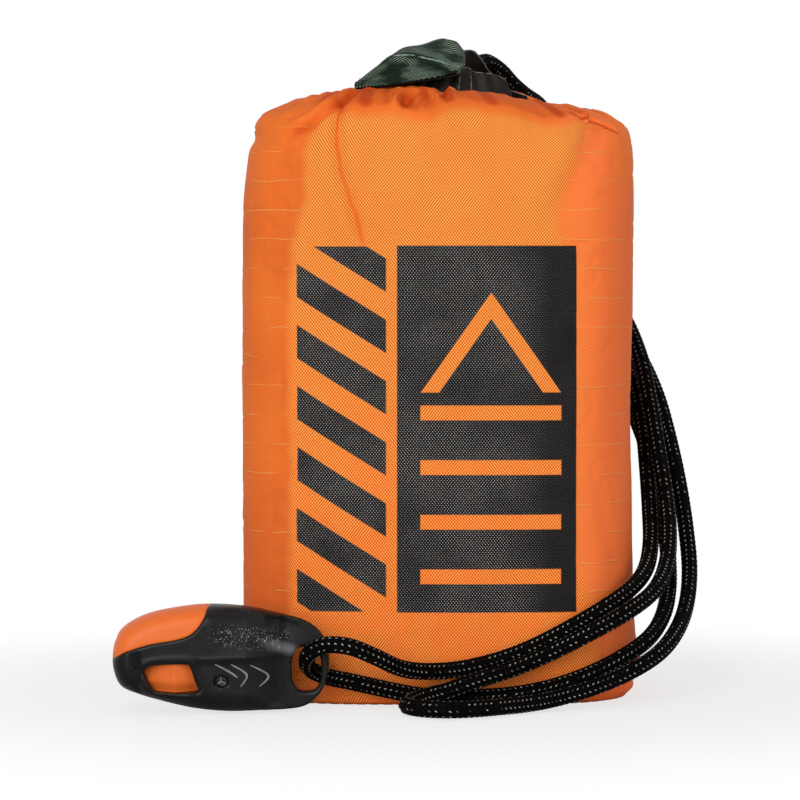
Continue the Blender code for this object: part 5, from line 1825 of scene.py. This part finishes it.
def build_bands(finish):
    distance = np.linspace(-GIRTH / 2, GIRTH / 2, 180, endpoint=False)
    shares = np.linspace(0, 1, 13)
    marks = marks_of(distance, shares * 4.8 * MM)
    for node in ("roll_band_lower", "roll_band_upper"):
        low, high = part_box(node)
        inset = (SACK_WIDTH - (high.x - low.x)) / 2
        rows = []
        for share in shares:
            ring, out = section(distance, inset, low.z + share * (high.z - low.z))
            ring[:, 2] += 0.12 * MM * ripple(ring, 90.0, 13.0)
            rows.append(ring + out * 0.08 * MM * abs(math.sin(share * math.pi * 4)))
        mesh = skin(node + "_elastic", rows, True, marks)
        thickened(placed(mesh, finish, "tent_roll", [node]), 0.5 * MM)


# Stitches


def stitch_tree(material):
    """The material and a node tree that lays short threads of it along the lines it is given."""
    tree = bpy.data.node_groups.new("stitches_along_a_seam", "GeometryNodeTree")
    face = tree.interface
    face.new_socket("Seam", in_out="INPUT", socket_type="NodeSocketGeometry")
    for name, default in (("Pitch", 0.0031), ("Stitch length", 0.0021), ("Thread radius", 0.00016)):
        socket = face.new_socket(name, in_out="INPUT", socket_type="NodeSocketFloat")
        socket.default_value = default
        socket.subtype = "DISTANCE"
    face.new_socket("Stitches", in_out="OUTPUT", socket_type="NodeSocketGeometry")
    nodes = Nodes(tree)
    given = nodes.node("NodeGroupInput").outputs
    line = nodes.out("GeometryNodeMeshToCurve", (given["Seam"],))
    places = {"Curve": line, "Length": given["Pitch"]}
    places = nodes.node("GeometryNodeCurveToPoints", places, mode="LENGTH").outputs
    ball = nodes.out("GeometryNodeMeshUVSphere", {"Segments": 8, "Rings": 6, "Radius": 1.0}, "Mesh")
    radius, half = given["Thread radius"], nodes.math("MULTIPLY", given["Stitch length"], 0.5)
    size = nodes.out("ShaderNodeCombineXYZ", (radius, radius, half))
    laid = {"Points": places["Points"], "Instance": ball, "Rotation": places["Rotation"], "Scale": size}
    laid = nodes.out("GeometryNodeInstanceOnPoints", laid)
    real = nodes.out("GeometryNodeRealizeInstances", (laid,))
    dressed = nodes.out("GeometryNodeSetMaterial", {"Geometry": real, "Material": material})
    nodes.node("NodeGroupOutput", (dressed,))
    return material, tree


def stitched(name, lines, thread, body, pitch=0.0031, length=0.0021, radius=0.00016):
    """Stitches along lines of points, as one piece. The thread is its material and its node tree."""
    mesh = bpy.data.meshes.new(name)
    mesh.from_pydata(*strung(lines, False), [])
    obj = linked(name, mesh)
    modifier = obj.modifiers.new("stitches", "NODES")
    material, modifier.node_group = thread
    sockets = {item.name: item.identifier for item in modifier.node_group.interface.items_tree}
    for socket, value in (("Pitch", pitch), ("Stitch length", length), ("Thread radius", radius)):
        modifier[sockets[socket]] = value
    laid = evaluated(obj)
    bpy.data.objects.remove(obj)
    bpy.data.meshes.remove(mesh)
    laid.name = name
    if not laid.polygons:
        raise RuntimeError("no stitches were laid for " + name)
    return placed(laid, material, body)


def dropped_on(obj, place, lift):
    """The point of the piece's top under or over the place, lifted off it."""
    hit, spot, normal, _ = obj.ray_cast(Vector((place[0], place[1], 0.20)), Vector((0, 0, -1)))
    if not hit:
        raise RuntimeError("the seam lies off " + obj.name)
    return spot + normal * lift


def build_stitches(outer):
    """Stitches along the hem, the two base seams, the back seam and the flap's sides."""
    orange = stitch_tree(thread_finish("orange_thread", (0.80, 0.20, 0.03)))
    green = stitch_tree(thread_finish("green_thread", (0.010, 0.026, 0.016)))
    gather = bpy.data.objects["mouth_cloth"]
    distance = np.linspace(-GIRTH / 2, GIRTH / 2, 400)
    ring = mouth_ring(distance, HEM_RADIUS + 1.5 * MM, 0.0)
    seam = [dropped_on(gather, place, 0.05 * MM) for place in ring]
    band = stitched("hem_stitches", [seam], orange, "sack", radius=0.00013)
    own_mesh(band)
    ring, _ = section(distance, 4.4 * MM, 0.02 * MM)
    stitched("floor_stitches", [ring], orange, "sack", radius=0.00012)
    low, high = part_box("back_seam")
    heights = np.linspace(low.z + 2 * MM, high.z - 2 * MM, 80)
    lines = [[(across, low.y + 0.02 * MM, z) for z in heights] for across in (-3.0 * MM, 3.0 * MM)]
    stitched("back_seam_stitches", lines, orange, "sack")
    binding, _ = section(distance, 6.6 * MM, 1.78 * MM)
    stitched("binding_stitches", [binding], orange, "sack")
    proud = (outer + ways_out(outer) * 0.50 * MM)[2:-4]
    lines = [proud[:, 4], proud[:, -5]]
    stitched("flap_stitches", lines, green, "flap", 0.0024, 0.0016, 0.00009)


# Stage


def build_stage(sizes):
    """A white floor under plain soft light, and the camera before the sack."""
    build = bmesh.new()
    bmesh.ops.create_circle(build, cap_ends=True, segments=96, radius=6.0)
    floor = linked("white_floor", as_mesh(build, "white_floor"))
    finish = Finish("white_floor", 0.9)
    finish.finish((0.86, 0.86, 0.86))
    glow = finish.node("ShaderNodeEmission", {"Color": (1.0, 1.0, 1.0)})
    seen = finish.out("ShaderNodeLightPath", output="Is Camera Ray")
    away = finish.out("ShaderNodeVectorMath", (finish.object_place(),), "Value", operation="LENGTH")
    # the floor's own shade shows near the sack only, and past it the floor is as white as the world
    share = seen * finish.step(away, 0.07, 0.19, 0.72, 1.0)
    both = finish.out("ShaderNodeMixShader", (share, finish.shader.outputs[0], glow.outputs[0]))
    finish.feed(finish.tree.nodes["Material Output"].inputs["Surface"], both)
    floor.data.materials.append(finish.material)

    world = bpy.context.scene.world or bpy.data.worlds.new("studio")
    bpy.context.scene.world = world
    world.use_nodes = True
    nodes = Nodes(world.node_tree)
    background = nodes.tree.nodes["Background"].inputs
    nodes.feed(background["Color"], (1.0, 1.0, 1.0))
    path = nodes.node("ShaderNodeLightPath").outputs
    seen = path["Is Camera Ray"]
    for name in ("Is Glossy Ray", "Is Transmission Ray"):
        seen = nodes.math("MAXIMUM", seen, path[name])
    strength = nodes.out("ShaderNodeMapRange", {0: seen, 3: sizes.ambient, 4: 1.0})
    nodes.feed(background["Strength"], strength)

    for name, place, watts, wide in (
        ("key_lamp", (-0.40, -1.30, 0.34), sizes.key, 0.7),
        ("fill_lamp", (0.85, -1.00, 0.22), 0.33 * sizes.key, 0.9),
        ("small_lamp", (-0.20, -0.85, 0.62), 0.17 * sizes.key, 0.09),
    ):
        data = bpy.data.lights.new(name, "AREA")
        data.energy, data.size = watts, wide
        lamp = linked(name, data)
        lamp.location = place
        aim = Vector((0.0, 0.0, 0.07)) - Vector(place)
        lamp.rotation_euler = aim.to_track_quat("-Z", "Y").to_euler()

    data = bpy.data.cameras.new("camera")
    data.lens, data.sensor_width, data.clip_start = sizes.focal, 36.0, 0.01
    camera = linked("camera", data)
    tilt = sizes.elevation
    back, rise = sizes.distance * math.cos(tilt), sizes.distance * math.sin(tilt)
    camera.location = (sizes.aim_across, -back, sizes.aim_up + rise)
    camera.rotation_euler = (math.pi / 2 - tilt, 0.0, 0.0)
    bpy.context.scene.camera = camera
    bpy.context.scene.view_settings.view_transform = "Standard"


# Operators


class TENT_OT_stage(bpy.types.Operator):
    """Sets up the floor, the light and the camera"""

    bl_idname = "tent.stage"
    bl_label = "Stage"

    def execute(self, context):
        build_stage(context.scene.tent_stage)
        return {"FINISHED"}


class TENT_OT_cords(bpy.types.Operator):
    """Braids the drawcord and its two tails, and ties their knot"""

    bl_idname = "tent.cords"
    bl_label = "Cords and knot"

    def execute(self, context):
        sizes = context.scene.tent_cord
        build_cords(sizes, braid_finish(sizes))
        return {"FINISHED"}


class TENT_OT_sack(bpy.types.Operator):
    """Makes the sack's wall, its bottom panel and the tapes on its seams"""

    bl_idname = "tent.sack"
    bl_label = "Sack"

    def execute(self, context):
        sizes = context.scene.tent_sack
        cloth = ripstop_finish(sizes)
        build_wall(sizes, cloth)
        build_floor(sizes, cloth)
        build_seams(tape_finish("woven_tape", (0.62, 0.14, 0.03)))
        return {"FINISHED"}


class TENT_OT_mouth(bpy.types.Operator):
    """Gathers the mouth, with its hem and its satin lining"""

    bl_idname = "tent.mouth"
    bl_label = "Mouth"

    def execute(self, context):
        sizes, mouth = context.scene.tent_sack, context.scene.tent_mouth
        cloth = bpy.data.materials.get("ripstop_nylon") or ripstop_finish(sizes)
        build_gather(sizes, mouth, cloth)
        build_hem(sizes, cloth)
        build_lining(mouth, satin_finish(mouth))
        return {"FINISHED"}


class TENT_OT_flap(bpy.types.Operator):
    """Folds the flap over the mouth, and sews its edges and the sack's seams"""

    bl_idname = "tent.flap"
    bl_label = "Flap and stitches"

    def execute(self, context):
        mouth = context.scene.tent_mouth
        black = bpy.data.materials.get("lining_satin") or satin_finish(mouth)
        build_stitches(build_flap(twill_finish(mouth), black))
        return {"FINISHED"}


class TENT_OT_whistle(bpy.types.Operator):
    """Moulds the whistle's core, its two shells and their marks"""

    bl_idname = "tent.whistle"
    bl_label = "Whistle"

    def execute(self, context):
        sizes = context.scene.tent_whistle
        shapes = whistle_shapes()
        rubber = rubber_finish(sizes)
        build_core(sizes, shapes, plastic_finish(sizes))
        build_shell(-1, "whistle_shell_front", "whistle_shell_near", sizes, shapes, rubber)
        build_shell(1, "whistle_shell_back", "whistle_shell_far", sizes, shapes, rubber)
        build_sound_marks(sizes, shapes, highlight_rubber_finish(sizes))
        return {"FINISHED"}


class TENT_OT_film(bpy.types.Operator):
    """Rolls the tent film and puts its two bands on"""

    bl_idname = "tent.film"
    bl_label = "Film and bands"

    def execute(self, context):
        sizes = context.scene.tent_roll
        build_film(sizes, film_finish(sizes))
        build_bands(elastic_finish())
        return {"FINISHED"}


STEPS = (
    TENT_OT_stage, TENT_OT_cords, TENT_OT_sack, TENT_OT_mouth, TENT_OT_flap, TENT_OT_whistle,
    TENT_OT_film,
)


class TENT_PT_pieces(bpy.types.Panel):
    """Lists the steps and their sizes"""

    bl_idname = "TENT_PT_pieces"
    bl_label = "Emergency tent"
    bl_space_type = "VIEW_3D"
    bl_region_type = "UI"
    bl_category = "Tent"

    def draw(self, context):
        for step in STEPS:
            self.layout.operator(step.bl_idname)
        for name, group in GROUPS.items():
            box = self.layout.box()
            box.label(text=group.__doc__)
            for size in group.__annotations__:
                box.prop(getattr(context.scene, name), size)


def register():
    for name, group in GROUPS.items():
        bpy.utils.register_class(group)
        setattr(bpy.types.Scene, name, PointerProperty(type=group))
    for cls in (*STEPS, TENT_PT_pieces):
        bpy.utils.register_class(cls)


def unregister():
    for cls in reversed((*STEPS, TENT_PT_pieces)):
        bpy.utils.unregister_class(cls)
    for name, group in reversed(list(GROUPS.items())):
        delattr(bpy.types.Scene, name)
        bpy.utils.unregister_class(group)


def main():
    register()
    for step in STEPS:
        area, name = step.bl_idname.split(".")
        getattr(getattr(bpy.ops, area), name)()


if __name__ == "__main__":
    main()
